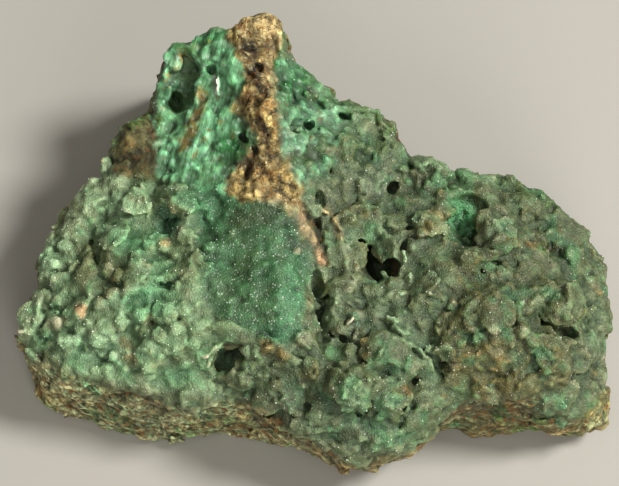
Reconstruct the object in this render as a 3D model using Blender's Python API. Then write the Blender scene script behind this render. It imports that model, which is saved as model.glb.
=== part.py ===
"""Garnierite hand specimen: one piece of green druse on brown matrix, 117 mm wide.

Frame: metres, +Z up, origin under the middle of the specimen on the surface it
rests on, +X to the right and +Y away from the face's lower edge.

The specimen is designed on an oblique drawing: a board tilted towards an eye that
looks down at it at VIEW_ELEVATION. Places on the board are in units of 0.2 mm,
u to the right and v downwards, and place() carries them to a stated height z (mm).
"""

import math

import bmesh
import bpy
from mathutils import Matrix, Vector, geometry, noise

# ---------------------------------------------------------------- dimensions
UNIT = 0.2  # mm per drawing unit
VIEW_ELEVATION = math.radians(65.0)
EYE_DISTANCE = 420.0  # mm, from the drawing's middle
BOARD_MIDDLE = (309.5, 243.0)  # drawing units
BOARD_HEIGHT = 16.0  # mm, height of the drawing's middle above the surface
ORIGIN = (0.77, -1.62)  # mm, middle of the footprint's box before it is centred
TOP_GRID = 2.1  # mm, spacing of the face's points
HEIGHT_BLEND = 5.0  # mm, how far one height mark reaches
VOXEL = 0.00085  # m, grain of the fused solid
VUG_VOXEL = 0.00043  # m, grain of the merged vug cutter
TRIANGLES = 9600
WALL_LEVELS = (0.85, 0.7, 0.55, 0.42, 0.3, 0.2, 0.1)  # shares of the rim's height
UNDER_INSET = 0.93  # how far the underside's chipped edge runs in
BASE_CUT = 0.0  # mm, height of the flat, broken underside

# ---------------------------------------------------------------- the edge
# Stations round the edge, clockwise from the peak. (u, v, z) of the upper rim,
# then (u, v, z) of the wall's widest line, or None where the wall drops straight
# from the rim, then how far in mm the foot stands out (+) or is undercut (-).
STATIONS = [
    ((251, 13, 43.0), None, 6.0),
    ((264, 9, 44.0), None, 7.0),
    ((275, 14, 43.5), None, 7.0),
    ((280, 27, 42.5), None, 7.0),
    ((282, 42, 41.0), None, 6.0),
    ((285, 60, 38.0), None, 5.0),
    ((296, 64, 36.5), None, 5.0),
    ((306, 74, 35.0), None, 5.0),
    ((318, 83, 34.0), None, 5.0),
    ((329, 88, 33.5), None, 5.0),
    ((336, 98, 33.0), None, 4.5),
    ((350, 103, 32.0), None, 4.5),
    ((364, 110, 31.5), None, 4.0),
    ((377, 114, 31.0), None, 4.0),
    ((388, 121, 30.5), None, 3.5),
    ((396, 135, 30.0), None, 3.0),
    ((400, 149, 29.0), None, 2.5),
    ((407, 161, 27.5), None, 2.5),
    ((412, 168, 26.5), None, 3.0),
    ((420, 160, 27.5), None, 3.0),
    ((429, 155, 28.0), None, 3.5),
    ((438, 161, 28.0), None, 3.5),
    ((452, 171, 28.5), None, 3.5),
    ((471, 173, 28.5), None, 4.0),
    ((493, 176, 28.0), None, 4.0),
    ((508, 180, 27.0), None, 4.0),
    ((523, 190, 26.0), None, 3.5),
    ((540, 194, 24.5), None, 3.0),
    ((552, 198, 24.0), None, 2.5),
    ((557, 207, 24.0), None, 2.0),
    ((566, 216, 23.0), None, 1.5),
    ((571, 227, 22.5), None, 1.5),
    ((586, 244, 21.0), None, 1.0),
    ((600, 263, 19.0), None, 0.0),
    ((605, 290, 18.0), None, -1.0),
    ((607, 310, 17.0), None, -1.5),
    ((606, 335, 16.5), None, -2.0),
    ((607, 356, 16.0), None, -2.0),
    ((603, 383, 14.5), (605, 390, 10.0), -2.0),
    ((600, 398, 14.0), (610, 409, 8.0), -3.0),
    ((597, 409, 14.0), (610, 424, 6.0), -3.0),
    ((589, 414, 14.5), (603, 430, 3.5), -2.0),
    ((578, 421, 14.5), (586, 434, 2.5), -1.0),
    ((562, 423, 15.0), (565, 436, 2.0), -1.0),
    ((540, 418, 16.0), (541, 433, 2.0), -1.0),
    ((518, 412, 17.5), (517, 434, 2.0), -1.0),
    ((495, 410, 18.5), (497, 437, 2.0), -1.0),
    ((474, 403, 20.0), (478, 438, 2.0), -1.0),
    ((461, 405, 20.0), (460, 433, 2.0), -1.5),
    ((452, 413, 19.5), (447, 430, 3.0), -2.0),
    ((440, 425, 18.5), (439, 434, 6.0), -4.0),
    ((432, 434, 17.0), (431, 441, 7.5), -5.0),
    ((423, 446, 15.5), (424, 451, 8.5), -6.0),
    ((408, 458, 14.5), (411, 463, 9.0), -7.0),
    ((388, 465, 14.0), (388, 468, 9.0), -7.0),
    ((366, 470, 13.5), (366, 472, 9.0), -7.0),
    ((347, 469, 13.5), (345, 473, 8.0), -6.0),
    ((335, 458, 15.5), (327, 465, 5.0), -4.0),
    ((316, 448, 17.0), (301, 456, 3.0), -2.0),
    ((297, 437, 18.0), (284, 451, 2.0), -1.0),
    ((275, 422, 19.0), (269, 444, 1.5), -1.0),
    ((256, 408, 19.5), (257, 438, 1.0), -1.0),
    ((240, 397, 20.0), (238, 438, 1.0), -1.0),
    ((220, 401, 19.5), (218, 437, 1.0), -1.0),
    ((195, 406, 19.0), (196, 439, 1.0), -1.0),
    ((165, 400, 19.5), (176, 443, 1.0), -1.0),
    ((140, 394, 20.0), (150, 439, 1.0), -1.0),
    ((119, 387, 20.0), (124, 436, 1.0), -1.0),
    ((98, 377, 20.5), (100, 432, 1.0), -1.0),
    ((75, 371, 20.5), (80, 425, 1.5), -1.0),
    ((57, 362, 20.0), (60, 418, 2.0), -1.5),
    ((44, 353, 19.0), (45, 410, 3.5), -2.0),
    ((33, 346, 18.0), (34, 390, 6.0), -2.0),
    ((23, 339, 17.5), (24, 361, 9.5), -2.0),
    ((17, 333, 17.0), (13, 344, 13.5), -1.0),
    ((20, 324, 17.5), None, 0.0),
    ((29, 311, 18.0), None, 0.5),
    ((34, 290, 19.0), None, 1.0),
    ((38, 270, 20.0), None, 1.5),
    ((45, 248, 20.5), None, 2.0),
    ((54, 230, 21.0), None, 2.5),
    ((65, 218, 21.5), None, 3.0),
    ((67, 205, 22.0), None, 3.5),
    ((76, 195, 22.5), None, 4.0),
    ((90, 185, 23.5), None, 4.5),
    ((105, 175, 24.5), None, 5.0),
    ((116, 165, 26.0), None, 5.0),
    ((118, 149, 28.0), None, 4.5),
    ((121, 135, 29.0), None, 4.5),
    ((127, 124, 29.5), None, 5.0),
    ((140, 116, 30.0), None, 5.5),
    ((152, 111, 30.5), None, 5.5),
    ((159, 104, 31.0), None, 5.0),
    ((159, 90, 31.5), None, 5.0),
    ((161, 76, 32.0), None, 5.0),
    ((166, 61, 33.0), None, 5.0),
    ((169, 50, 34.0), None, 5.5),
    ((175, 43, 34.5), None, 6.0),
    ((190, 38, 36.0), None, 6.0),
    ((206, 33, 37.5), None, 6.0),
    ((222, 29, 39.0), None, 6.0),
    ((233, 22, 41.0), None, 6.0),
    ((241, 17, 42.0), None, 6.0),
]

# ---------------------------------------------------------------- the face
# Height marks (u, v, z) in mm over the face, between which it runs smoothly.
HEIGHTS = [
    # the brown ridge, from the peak down into the druse
    (262, 24, 43), (272, 50, 42.5), (248, 45, 41), (268, 88, 41.5), (262, 128, 40.5), (268, 160, 39), (280, 192, 36), (258, 196, 35),
    # banded ground to the ridge's left
    (215, 60, 37.5), (205, 100, 34.5), (226, 108, 37.5), (215, 148, 34), (236, 165, 34.5), (190, 165, 31.5), (188, 48, 35.5), (165, 120, 31),
    # the knob at the left shoulder
    (140, 134, 31.5), (134, 156, 30.5), (150, 168, 29),
    # bright green ground to the ridge's right
    (294, 80, 36.5), (318, 105, 34), (302, 152, 35.5), (326, 150, 33.5), (352, 120, 32), (376, 132, 31), (392, 150, 29.5), (350, 165, 31.5),
    (330, 200, 30), (370, 185, 29.5), (398, 178, 27),
    # the smooth dome
    (190, 200, 31), (202, 222, 30.5), (225, 218, 33), (252, 228, 34), (240, 258, 34), (270, 268, 35), (286, 298, 35), (294, 325, 34.5),
    (262, 308, 33.5), (228, 290, 32), (300, 244, 33),
    # the knobbly field on the left
    (100, 192, 25), (80, 215, 23), (130, 200, 27.5), (158, 215, 28), (110, 230, 27), (140, 250, 29), (170, 262, 30), (70, 250, 23.5),
    (55, 280, 22), (90, 270, 26), (110, 300, 27), (150, 300, 29.5), (190, 300, 30.5), (60, 310, 22.5), (36, 328, 19), (80, 335, 24),
    (120, 340, 26), (160, 345, 27.5), (198, 335, 29), (62, 352, 21.5), (100, 366, 22), (140, 380, 22), (180, 388, 22), (214, 392, 22.5),
    # the trough that runs down from the notch
    (322, 300, 26), (328, 330, 25), (342, 345, 26.5), (330, 265, 29),
    # the middle
    (350, 222, 29.5), (376, 215, 30.5), (400, 210, 29.5), (420, 200, 29), (432, 222, 30.5), (345, 255, 30), (350, 300, 29.5), (376, 310, 30),
    (400, 300, 30.5), (420, 280, 31), (370, 345, 29.5), (400, 345, 28.5), (420, 358, 27),
    # the right-hand mass
    (425, 170, 28.5), (440, 190, 29.5), (460, 185, 29.5), (484, 186, 29.5), (512, 196, 29), (540, 206, 26.5), (560, 230, 25.5), (500, 230, 30.5),
    (522, 250, 31), (552, 260, 28.5), (580, 262, 24), (595, 292, 21), (470, 270, 32), (440, 260, 31.5), (500, 290, 32.5), (530, 282, 31.5),
    (562, 310, 28), (592, 340, 22.5), (450, 310, 31.5), (480, 330, 33), (512, 340, 33), (542, 352, 31), (576, 372, 26.5), (598, 380, 19),
    (440, 350, 28), (462, 370, 31), (500, 378, 31.5), (540, 388, 29.5), (578, 400, 21), (462, 392, 26), (500, 398, 26), (540, 404, 24.5),
    # the lower lobe
    (242, 382, 24), (262, 362, 27.5), (282, 380, 27.5), (290, 408, 25), (310, 400, 26.5), (320, 362, 28.5), (342, 390, 29.5), (340, 420, 26.5),
    (366, 395, 28.5), (380, 420, 26), (400, 400, 27), (352, 448, 21), (380, 448, 21.5), (408, 438, 21.5), (430, 412, 23.5), (302, 428, 21.5),
    (330, 444, 19.5), (416, 382, 25),
]

# Botryoidal knobs and lobes on the face: (u, v, radius in mm, how far the centre
# lies under the face in mm, and how flat it is, 1 for round).
KNOBS = [
    # the left field
    (55, 268, 3.2, 1.2, 1.0), (32, 326, 2.4, 0.6, 1.0), (58, 323, 2.2, 0.4, 1.0), (81, 313, 2.2, 0.2, 1.0), (44, 305, 2.4, 0.8, 1.0),
    (62, 296, 3.0, 1.4, 1.0), (86, 284, 3.4, 1.8, 1.0), (76, 240, 3.4, 1.8, 1.0), (96, 212, 3.2, 1.8, 1.0), (120, 186, 3.2, 1.8, 1.0),
    (143, 210, 2.8, 0.6, 1.0), (163, 243, 2.4, 0.8, 1.0), (184, 200, 4.2, 1.6, 1.0), (190, 246, 2.6, 0.8, 1.0), (193, 273, 3.6, 1.8, 1.0),
    (140, 276, 3.6, 2.0, 1.0), (161, 290, 3.8, 2.2, 1.0), (106, 328, 4.0, 2.2, 1.0), (70, 342, 3.0, 1.4, 1.0), (196, 325, 3.4, 1.6, 1.0),
    (182, 341, 3.0, 1.4, 1.0), (148, 350, 3.4, 2.2, 1.0), (122, 300, 3.2, 2.0, 1.0), (120, 244, 3.0, 1.8, 1.0), (128, 366, 3.2, 2.2, 1.0),
    # the left shoulder and the block behind it
    (136, 142, 4.4, 2.2, 1.0), (184, 62, 2.6, 0.6, 1.0), (196, 88, 2.4, 0.6, 1.0),
    # round the trough and the middle
    (340, 292, 2.6, 0.6, 1.0), (334, 316, 2.4, 1.0, 1.0), (350, 326, 2.6, 0.8, 1.0), (362, 218, 4.0, 2.0, 1.0), (398, 228, 3.4, 1.6, 1.0),
    (340, 236, 3.0, 1.4, 1.0), (430, 232, 2.6, 0.2, 1.0), (441, 222, 2.2, 0.0, 1.0), (346, 196, 3.2, 1.8, 1.0), (352, 150, 3.6, 2.2, 1.0),
    (380, 154, 3.6, 2.0, 1.0), (312, 210, 3.0, 1.6, 1.0), (400, 322, 3.0, 1.6, 1.0), (374, 354, 3.0, 1.0, 1.0), (430, 296, 3.8, 2.4, 1.0),
    # the right-hand mass
    (430, 178, 3.6, 1.4, 1.0), (486, 228, 3.2, 0.0, 1.0), (500, 240, 3.0, 0.4, 1.0), (474, 258, 3.6, 1.8, 1.0), (520, 214, 3.6, 2.0, 1.0),
    (548, 226, 3.4, 1.8, 1.0), (470, 318, 4.4, 2.4, 1.0), (536, 300, 3.4, 1.4, 1.0), (498, 318, 3.6, 2.0, 1.0), (566, 266, 3.4, 1.8, 1.0),
    (584, 292, 3.2, 1.8, 1.0), (548, 362, 4.4, 2.4, 1.0), (580, 350, 3.4, 1.6, 1.0), (520, 378, 5.0, 3.0, 1.0), (452, 352, 4.2, 1.8, 1.0),
    (560, 392, 3.4, 2.0, 1.0), (484, 388, 3.6, 2.2, 1.0),
    # the lower lobe
    (262, 352, 3.0, 1.2, 1.0), (248, 372, 3.0, 1.6, 1.0), (276, 392, 3.2, 1.4, 1.0), (292, 400, 3.0, 0.8, 1.0), (312, 372, 2.6, 0.2, 1.0),
    (324, 408, 4.2, 1.6, 1.0), (352, 388, 4.4, 1.4, 1.0), (386, 396, 3.6, 1.4, 1.0), (404, 418, 3.4, 1.8, 1.0), (352, 432, 3.4, 1.8, 1.0),
    (300, 424, 2.8, 1.4, 1.0), (380, 440, 3.2, 2.0, 1.0), (428, 402, 3.2, 1.4, 1.0), (404, 366, 3.4, 1.0, 1.0), (286, 352, 3.0, 1.4, 1.0),
]

# Vugs, the hollows in the face: (u, v, half width mm, half length mm, depth mm,
# turn in degrees on the board, lift of the centre above the face in mm).
VUGS = [
    (375, 263, 2.5, 4.8, 13.0, 14, 0.5),  # the deep black vug
    (358, 240, 2.4, 1.7, 6.0, -24, 0.3),  # its upper arm
    (461, 219, 3.9, 5.0, 6.0, 14, 0.8),  # the green vug on the right
    (474, 237, 2.0, 2.2, 9.0, 0, 0.3),  # its dark throat
    (392, 191, 1.9, 1.8, 6.0, 0, 0.3),
    (229, 359, 4.3, 2.3, 4.2, 35, 0.5),  # the lens-shaped opening
    (168, 220, 2.8, 3.5, 3.6, -8, 0.6),  # the pocket under the round knob
    (179, 82, 3.9, 6.3, 4.4, -10, 0.9),  # the bowl in the left block
    (556, 320, 4.3, 4.6, 5.0, 0, 1.0),  # the pit that holds a round knob
    (321, 312, 1.7, 6.0, 4.6, -4, 0.3),  # the cleft beside the dome
    (298, 125, 3.0, 2.1, 4.2, 20, 0.5),
    (418, 381, 3.4, 1.3, 4.5, 12, 0.3),
    (441, 362, 1.8, 3.2, 4.0, -18, 0.5),
]
# The round knob that sits free in the pit on the right: (u, v, radius, height).
PIT_KNOB = (560, 305, 3.4, 26.5)


# ---------------------------------------------------------------- the drawing
def eye_and_axes():
    """The eye, and the board's right, up and outward directions."""
    out = Vector((0.0, -math.cos(VIEW_ELEVATION), math.sin(VIEW_ELEVATION)))
    right = Vector((1.0, 0.0, 0.0))
    up = out.cross(right)
    return Vector((0.0, 0.0, BOARD_HEIGHT)) + out * EYE_DISTANCE, right, up, out


EYE, RIGHT, UP, OUT = eye_and_axes()


def place(u, v, z):
    """The point at height z (mm) that the drawing shows at (u, v)."""
    board = Vector((0.0, 0.0, BOARD_HEIGHT)) + RIGHT * ((u - BOARD_MIDDLE[0]) * UNIT) + UP * ((BOARD_MIDDLE[1] - v) * UNIT)
    ray = board - EYE
    return EYE + ray * ((z - EYE.z) / ray.z)


MARKS = [place(*mark) for mark in HEIGHTS] + [place(*rim) for rim, _, _ in STATIONS]


def face_height(x, y):
    """Height of the face (mm) over a plan position, from the marks around it."""
    total = weight = 0.0
    for m in MARKS:
        d2 = (m.x - x) ** 2 + (m.y - y) ** 2
        if d2 < (5.0 * HEIGHT_BLEND) ** 2:
            w = math.exp(-d2 / HEIGHT_BLEND**2) + 1e-4 / (1.0 + d2)
            total += w * m.z
            weight += w
    z = total / weight
    swell = noise.noise(Vector((x, y, 3.0)) / 7.0)
    grain = noise.noise(Vector((x, y, 9.0)) / 3.2)
    return z + 0.9 * swell + 0.45 * grain


def on_face(u, v):
    """The point of the face that the drawing shows at (u, v)."""
    z = 28.0
    for _ in range(12):
        p = place(u, v, z)
        z = 0.5 * (z + face_height(p.x, p.y))
    return place(u, v, z)


# ---------------------------------------------------------------- the body
def outward(ring, i):
    """Plan direction that points out of a clockwise ring at point i."""
    a, b = ring[i - 1], ring[(i + 1) % len(ring)]
    along = Vector((b.x - a.x, b.y - a.y, 0.0)).normalized()
    return Vector((-along.y, along.x, 0.0))


def wall_rings():
    """Rings of points from the rim down to the foot, rough like broken rock."""
    rims = [place(*rim) for rim, _, _ in STATIONS]
    rings = [rims]
    for level in WALL_LEVELS:
        ring = []
        for i, (rim, girth, foot) in enumerate(STATIONS):
            top, out = rims[i], outward(rims, i)
            if girth is None:
                reach = foot * (1.0 - level) + 0.7 * math.sin(math.pi * level)
                p = Vector((top.x, top.y, top.z * level)) + out * reach
            else:
                wide = place(*girth)
                if level > 0.35:
                    p = top.lerp(wide, (1.0 - level) / 0.68)
                else:
                    p = wide + out * foot * (0.5 if level > 0.2 else 0.85)
                    p.z = min(wide.z, top.z * level)
            block = noise.cell_vector(p / 9.0) - Vector((0.5, 0.5, 0.5))
            rough = block * 1.1 + noise.noise_vector(p / 7.0) * 1.3 + noise.noise_vector(p / 2.6) * 0.7
            rough.z *= 0.4
            ring.append(p + rough * (1.0 if girth is None else 0.7))
        rings.append(ring)
    low = rings[-1]
    rings.append([Vector((p.x * 0.99, p.y * 0.99, 0.8 + 1.5 * noise.noise(p / 6.0))) for p in low])
    rings.append([Vector((p.x * UNDER_INSET, p.y * UNDER_INSET, -1.6)) for p in low])
    return rings


def inside(ring, x, y):
    """True if a plan position lies inside a ring."""
    hit = False
    for a, b in zip(ring, ring[1:] + ring[:1]):
        if (a.y > y) != (b.y > y) and x < (b.x - a.x) * (y - a.y) / (b.y - a.y) + a.x:
            hit = not hit
    return hit


def clear_of(ring, x, y, gap):
    """True if a plan position is at least gap (mm) from a ring's line."""
    for a, b in zip(ring, ring[1:] + ring[:1]):
        ab = Vector((b.x - a.x, b.y - a.y))
        t = max(0.0, min(1.0, Vector((x - a.x, y - a.y)).dot(ab) / max(ab.length_squared, 1e-9)))
        if math.hypot(x - a.x - ab.x * t, y - a.y - ab.y * t) < gap:
            return False
    return True


def build_body():
    """The body's shell: a filled face, rough walls and a filled underside."""
    rings = wall_rings()
    rim = rings[0]
    count = len(rim)
    points = [Vector((p.x, p.y)) for p in rim]
    xs, ys = [p.x for p in points], [p.y for p in points]
    row, y = 0, min(ys)
    while y < max(ys):
        x = min(xs) + (TOP_GRID / 2 if row % 2 else 0.0)
        while x < max(xs):
            if inside(rim, x, y) and clear_of(rim, x, y, TOP_GRID * 0.55):
                points.append(Vector((x, y)))
            x += TOP_GRID
        y += TOP_GRID * 0.866
        row += 1
    edges = [(i, (i + 1) % count) for i in range(count)]
    flat, _, faces, _, _, _ = geometry.delaunay_2d_cdt(points, edges, [], 1, 1e-6)
    shell = bmesh.new()
    top = []
    for i, p in enumerate(flat):
        z = rim[i].z if i < count else face_height(p.x, p.y)
        top.append(shell.verts.new((p.x, p.y, z)))
    for face in faces:
        shell.faces.new([top[i] for i in face])
    above = top[:count]
    for ring in rings[1:]:
        below = [shell.verts.new(p) for p in ring]
        for i in range(count):
            j = (i + 1) % count
            shell.faces.new((above[i], above[j], below[j], below[i]))
        above = below
    shell.faces.new(above)
    bmesh.ops.triangulate(shell, faces=[f for f in shell.faces if len(f.verts) > 4])
    bmesh.ops.recalc_face_normals(shell, faces=shell.faces)
    return shell


def add_ball(mesh, centre, radii, turn=Matrix.Identity(3), detail=2):
    """Adds an ellipsoid, its axes the board's right, up and outward directions."""
    axes = Matrix((RIGHT, UP, OUT)).transposed() @ turn
    ball = bmesh.ops.create_icosphere(mesh, subdivisions=detail, radius=1.0)["verts"]
    for vert in ball:
        vert.co = centre + axes @ Vector((vert.co.x * radii[0], vert.co.y * radii[1], vert.co.z * radii[2]))


def finish_mesh(name, shell):
    """Turns a bmesh in mm into an object in metres, centred on the footprint."""
    bmesh.ops.translate(shell, verts=shell.verts, vec=(-ORIGIN[0], -ORIGIN[1], 0.0))
    bmesh.ops.scale(shell, verts=shell.verts, vec=(0.001, 0.001, 0.001))
    mesh = bpy.data.meshes.new(name)
    shell.to_mesh(mesh)
    shell.free()
    obj = bpy.data.objects.new(name, mesh)
    bpy.context.scene.collection.objects.link(obj)
    return obj


def as_cutter(obj):
    obj.hide_render = True
    obj.display_type = "WIRE"
    return obj


def rock_material():
    """Dull waxy green druse, as the specimen's face shows overall."""
    material = bpy.data.materials.new("garnierite_druse")
    material.use_nodes = True
    shader = material.node_tree.nodes["Principled BSDF"]
    shader.inputs["Base Color"].default_value = (0.20, 0.33, 0.22, 1.0)
    shader.inputs["Roughness"].default_value = 0.55
    shader.inputs["Metallic"].default_value = 0.0
    return material


def main():
    for old in list(bpy.data.objects):
        bpy.data.objects.remove(old, do_unlink=True)
    noise.seed_set(28)  # vector noise takes its seed from the clock otherwise

    shell = build_body()
    for u, v, radius, sunk, flat in KNOBS:
        add_ball(shell, on_face(u, v) - OUT * sunk, (radius, radius, radius * flat))
    specimen = finish_mesh("garnierite_specimen", shell)
    specimen.data.materials.append(rock_material())

    hollows = bmesh.new()
    for u, v, half_width, half_length, depth, degrees, lift in VUGS:
        turn = Matrix.Rotation(math.radians(degrees), 3, "Z")
        add_ball(hollows, on_face(u, v) + OUT * lift, (half_width, half_length, depth), turn, 3)
    vug_cutter = as_cutter(finish_mesh("vug_cutter", hollows))
    # Vugs that run into each other become one hollow before they are cut.
    merge = vug_cutter.modifiers.new("merge", "REMESH")
    merge.mode = "VOXEL"
    merge.voxel_size = VUG_VOXEL
    merge.use_smooth_shade = False

    knob = bmesh.new()
    u, v, radius, z = PIT_KNOB
    add_ball(knob, place(u, v, z), (radius, radius, radius * 1.6), detail=3)
    pit_knob = as_cutter(finish_mesh("pit_knob", knob))

    slab = bmesh.new()
    bmesh.ops.create_cube(slab, size=1.0)
    bmesh.ops.scale(slab, verts=slab.verts, vec=(180.0, 160.0, 20.0))
    bmesh.ops.translate(slab, verts=slab.verts, vec=(0.0, 0.0, BASE_CUT - 10.0))
    under = as_cutter(finish_mesh("under_cutter", slab))

    fuse = specimen.modifiers.new("fuse", "REMESH")
    fuse.mode = "VOXEL"
    fuse.voxel_size = VOXEL
    fuse.use_smooth_shade = False
    cut = specimen.modifiers.new("vugs", "BOOLEAN")
    cut.operation, cut.solver, cut.object = "DIFFERENCE", "EXACT", vug_cutter
    join = specimen.modifiers.new("pit_knob", "BOOLEAN")
    join.operation, join.solver, join.object = "UNION", "EXACT", pit_knob
    regrain = specimen.modifiers.new("regrain", "REMESH")
    regrain.mode = "VOXEL"
    regrain.voxel_size = VOXEL
    regrain.use_smooth_shade = False

    graph = bpy.context.evaluated_depsgraph_get()
    bpy.context.view_layer.update()
    graph.update()
    fine = specimen.evaluated_get(graph).to_mesh()
    fine.calc_loop_triangles()
    have = len(fine.loop_triangles)
    specimen.evaluated_get(graph).to_mesh_clear()
    thin = specimen.modifiers.new("thin", "DECIMATE")
    thin.ratio = min(1.0, TRIANGLES / have)
    flat_foot = specimen.modifiers.new("flat_foot", "BOOLEAN")
    flat_foot.operation, flat_foot.solver, flat_foot.object = "DIFFERENCE", "EXACT", under


main()
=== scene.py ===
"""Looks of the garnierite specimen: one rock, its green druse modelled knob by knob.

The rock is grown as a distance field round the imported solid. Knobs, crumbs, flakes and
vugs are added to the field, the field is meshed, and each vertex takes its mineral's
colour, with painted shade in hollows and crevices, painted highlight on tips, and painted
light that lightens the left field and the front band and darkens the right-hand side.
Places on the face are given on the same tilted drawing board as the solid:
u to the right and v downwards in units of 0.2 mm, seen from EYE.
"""

import math

import bpy
import numpy as np
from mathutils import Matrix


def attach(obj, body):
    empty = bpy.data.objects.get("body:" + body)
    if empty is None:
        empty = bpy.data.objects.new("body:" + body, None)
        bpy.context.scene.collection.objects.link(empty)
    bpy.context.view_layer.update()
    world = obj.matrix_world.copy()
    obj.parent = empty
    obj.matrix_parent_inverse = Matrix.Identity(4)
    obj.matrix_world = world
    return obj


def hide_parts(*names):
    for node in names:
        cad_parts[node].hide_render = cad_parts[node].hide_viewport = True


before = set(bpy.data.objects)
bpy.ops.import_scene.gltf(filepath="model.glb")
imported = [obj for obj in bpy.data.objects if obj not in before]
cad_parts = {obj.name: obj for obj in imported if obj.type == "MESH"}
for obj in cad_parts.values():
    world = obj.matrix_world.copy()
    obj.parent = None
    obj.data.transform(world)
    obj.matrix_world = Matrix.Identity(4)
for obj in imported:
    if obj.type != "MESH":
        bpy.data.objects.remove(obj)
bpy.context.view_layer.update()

import openvdb
from mathutils import Matrix, Vector, kdtree

BODY = "root"
NODE = "garnierite_specimen"

# ---------------------------------------------------------------- dimensions (mm)
GRAIN = 0.34  # spacing of the field
MARGIN = 2.6  # room round the solid
FACES = 330000  # triangles of the finished rock
UNIT = 0.2
VIEW_ELEVATION = math.radians(65.0)
EYE_DISTANCE = 420.0
BOARD_MIDDLE = (309.5, 243.0)
BOARD_HEIGHT = 16.0
ORIGIN = np.array((0.77, -1.62, 0.0))
rng = np.random.default_rng(28)

# ---------------------------------------------------------------- minerals (sRGB)
MINERAL = {
    "mint": (170, 208, 160),
    "cream_green": (192, 208, 164),
    "cream": (214, 208, 170),
    "pale_green": (148, 180, 134),
    "sage": (110, 124, 84),
    "grey_green": (106, 114, 84),
    "teal_green": (98, 160, 108),
    "bright_teal": (116, 184, 128),
    "deep_teal": (48, 84, 56),
    "olive": (108, 104, 58),
    "dark_olive": (74, 78, 44),
    "ochre": (176, 146, 86),
    "tan": (196, 174, 122),
    "peach": (196, 160, 118),
    "rust": (138, 92, 38),
    "umber": (92, 76, 50),
    "soot": (40, 34, 28),
    "turquoise": (152, 228, 170),
    "emerald": (38, 116, 50),
    "leaf": (70, 112, 46),
    "yellow_green": (128, 134, 62),
    "stone": (152, 150, 108),
    "white": (226, 224, 206),
}

# ---------------------------------------------------------------- the drawing board
OUT = np.array((0.0, -math.cos(VIEW_ELEVATION), math.sin(VIEW_ELEVATION)))
RIGHT = np.array((1.0, 0.0, 0.0))
UP = np.cross(OUT, RIGHT)
BOARD = np.array((0.0, 0.0, BOARD_HEIGHT)) - ORIGIN
EYE = BOARD + OUT * EYE_DISTANCE


def drawn_at(points):
    """(u, v) of points (mm) on the board."""
    rel = points - EYE
    on_board = EYE + rel * (-EYE_DISTANCE / (rel @ OUT))[:, None] - BOARD
    return BOARD_MIDDLE[0] + on_board @ RIGHT / UNIT, BOARD_MIDDLE[1] - on_board @ UP / UNIT


def soft(x, low, high):
    """0 below low, 1 above high, smooth between."""
    t = np.clip((x - low) / (high - low), 0.0, 1.0)
    return t * t * (3.0 - 2.0 * t)


# ---------------------------------------------------------------- noise
def lattice_noise(points, size, seed):
    """Smooth noise from -1 to 1 whose features are size mm across."""
    side = 64
    table = np.random.default_rng(seed).uniform(-1.0, 1.0, (side, side, side)).astype(np.float32)
    p = points / size + 1000.0
    base = np.floor(p).astype(np.int32)
    f = (p - base).astype(np.float32)
    f = f * f * (3.0 - 2.0 * f)
    a, b = base % side, (base + 1) % side
    fx, fy, fz = f[:, 0], f[:, 1], f[:, 2]
    total = 0.0
    for ix, wx in ((a[:, 0], 1 - fx), (b[:, 0], fx)):
        for iy, wy in ((a[:, 1], 1 - fy), (b[:, 1], fy)):
            for iz, wz in ((a[:, 2], 1 - fz), (b[:, 2], fz)):
                total = total + table[ix, iy, iz] * (wx * wy * wz)
    return total


def rough_noise(points, size, seed, octaves=3):
    total, weight = 0.0, 0.0
    for k in range(octaves):
        total = total + lattice_noise(points, size / 2**k, seed + k) * 0.6**k
        weight += 0.6**k
    return total / weight


def broken_blocks(points, size, seed):
    """Noise of flat-sided broken blocks: each cell of a jittered grid has its own level and tilt."""
    side = 32
    source = np.random.default_rng(seed)
    jitter = source.uniform(0.1, 0.9, (side, side, side, 3)).astype(np.float32)
    tilt = source.uniform(-1.0, 1.0, (side, side, side, 4)).astype(np.float32)
    p = (points / size + 500.0).astype(np.float32)
    base = np.floor(p).astype(np.int32)
    best = np.full(len(p), 9.0, np.float32)
    level = np.zeros(len(p), np.float32)
    for dx in (-1, 0, 1):
        for dy in (-1, 0, 1):
            for dz in (-1, 0, 1):
                cell = base + np.array((dx, dy, dz), np.int32)
                w = cell % side
                off = p - cell - jitter[w[:, 0], w[:, 1], w[:, 2]]
                d = np.einsum("ij,ij->i", off, off)
                near = d < best
                best[near] = d[near]
                t = tilt[w[near, 0], w[near, 1], w[near, 2]]
                level[near] = t[:, 3] + np.einsum("ij,ij->i", off[near], t[:, :3]) * 1.3
    return level


def layered(points, thick, run, seed):
    """Noise of thin tilted layers, like the foliation of the matrix."""
    x, y, z = points.T
    sag = 0.9 * lattice_noise(points, 5.0, seed + 50)
    return lattice_noise(np.stack([x / run, y / run, (z + 0.38 * x - 0.15 * y + sag) / thick], 1), 1.0, seed)


# ---------------------------------------------------------------- shapes on the board
def polygon_depth(u, v, corners):
    """How far (drawing units) inside a polygon each place is; negative outside."""
    c = np.array(corners, float)
    away = np.full(len(u), 1e9)
    hit = np.zeros(len(u), bool)
    for (ax, ay), (bx, by) in zip(c, np.roll(c, -1, axis=0)):
        ex, ey = bx - ax, by - ay
        t = np.clip(((u - ax) * ex + (v - ay) * ey) / max(ex * ex + ey * ey, 1e-9), 0, 1)
        away = np.minimum(away, (u - ax - t * ex) ** 2 + (v - ay - t * ey) ** 2)
        if ay != by:
            cross = ((ay > v) != (by > v)) & (u < ex * (v - ay) / (by - ay) + ax)
            hit ^= cross
    away = np.sqrt(away)
    return np.where(hit, away, -away)


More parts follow.
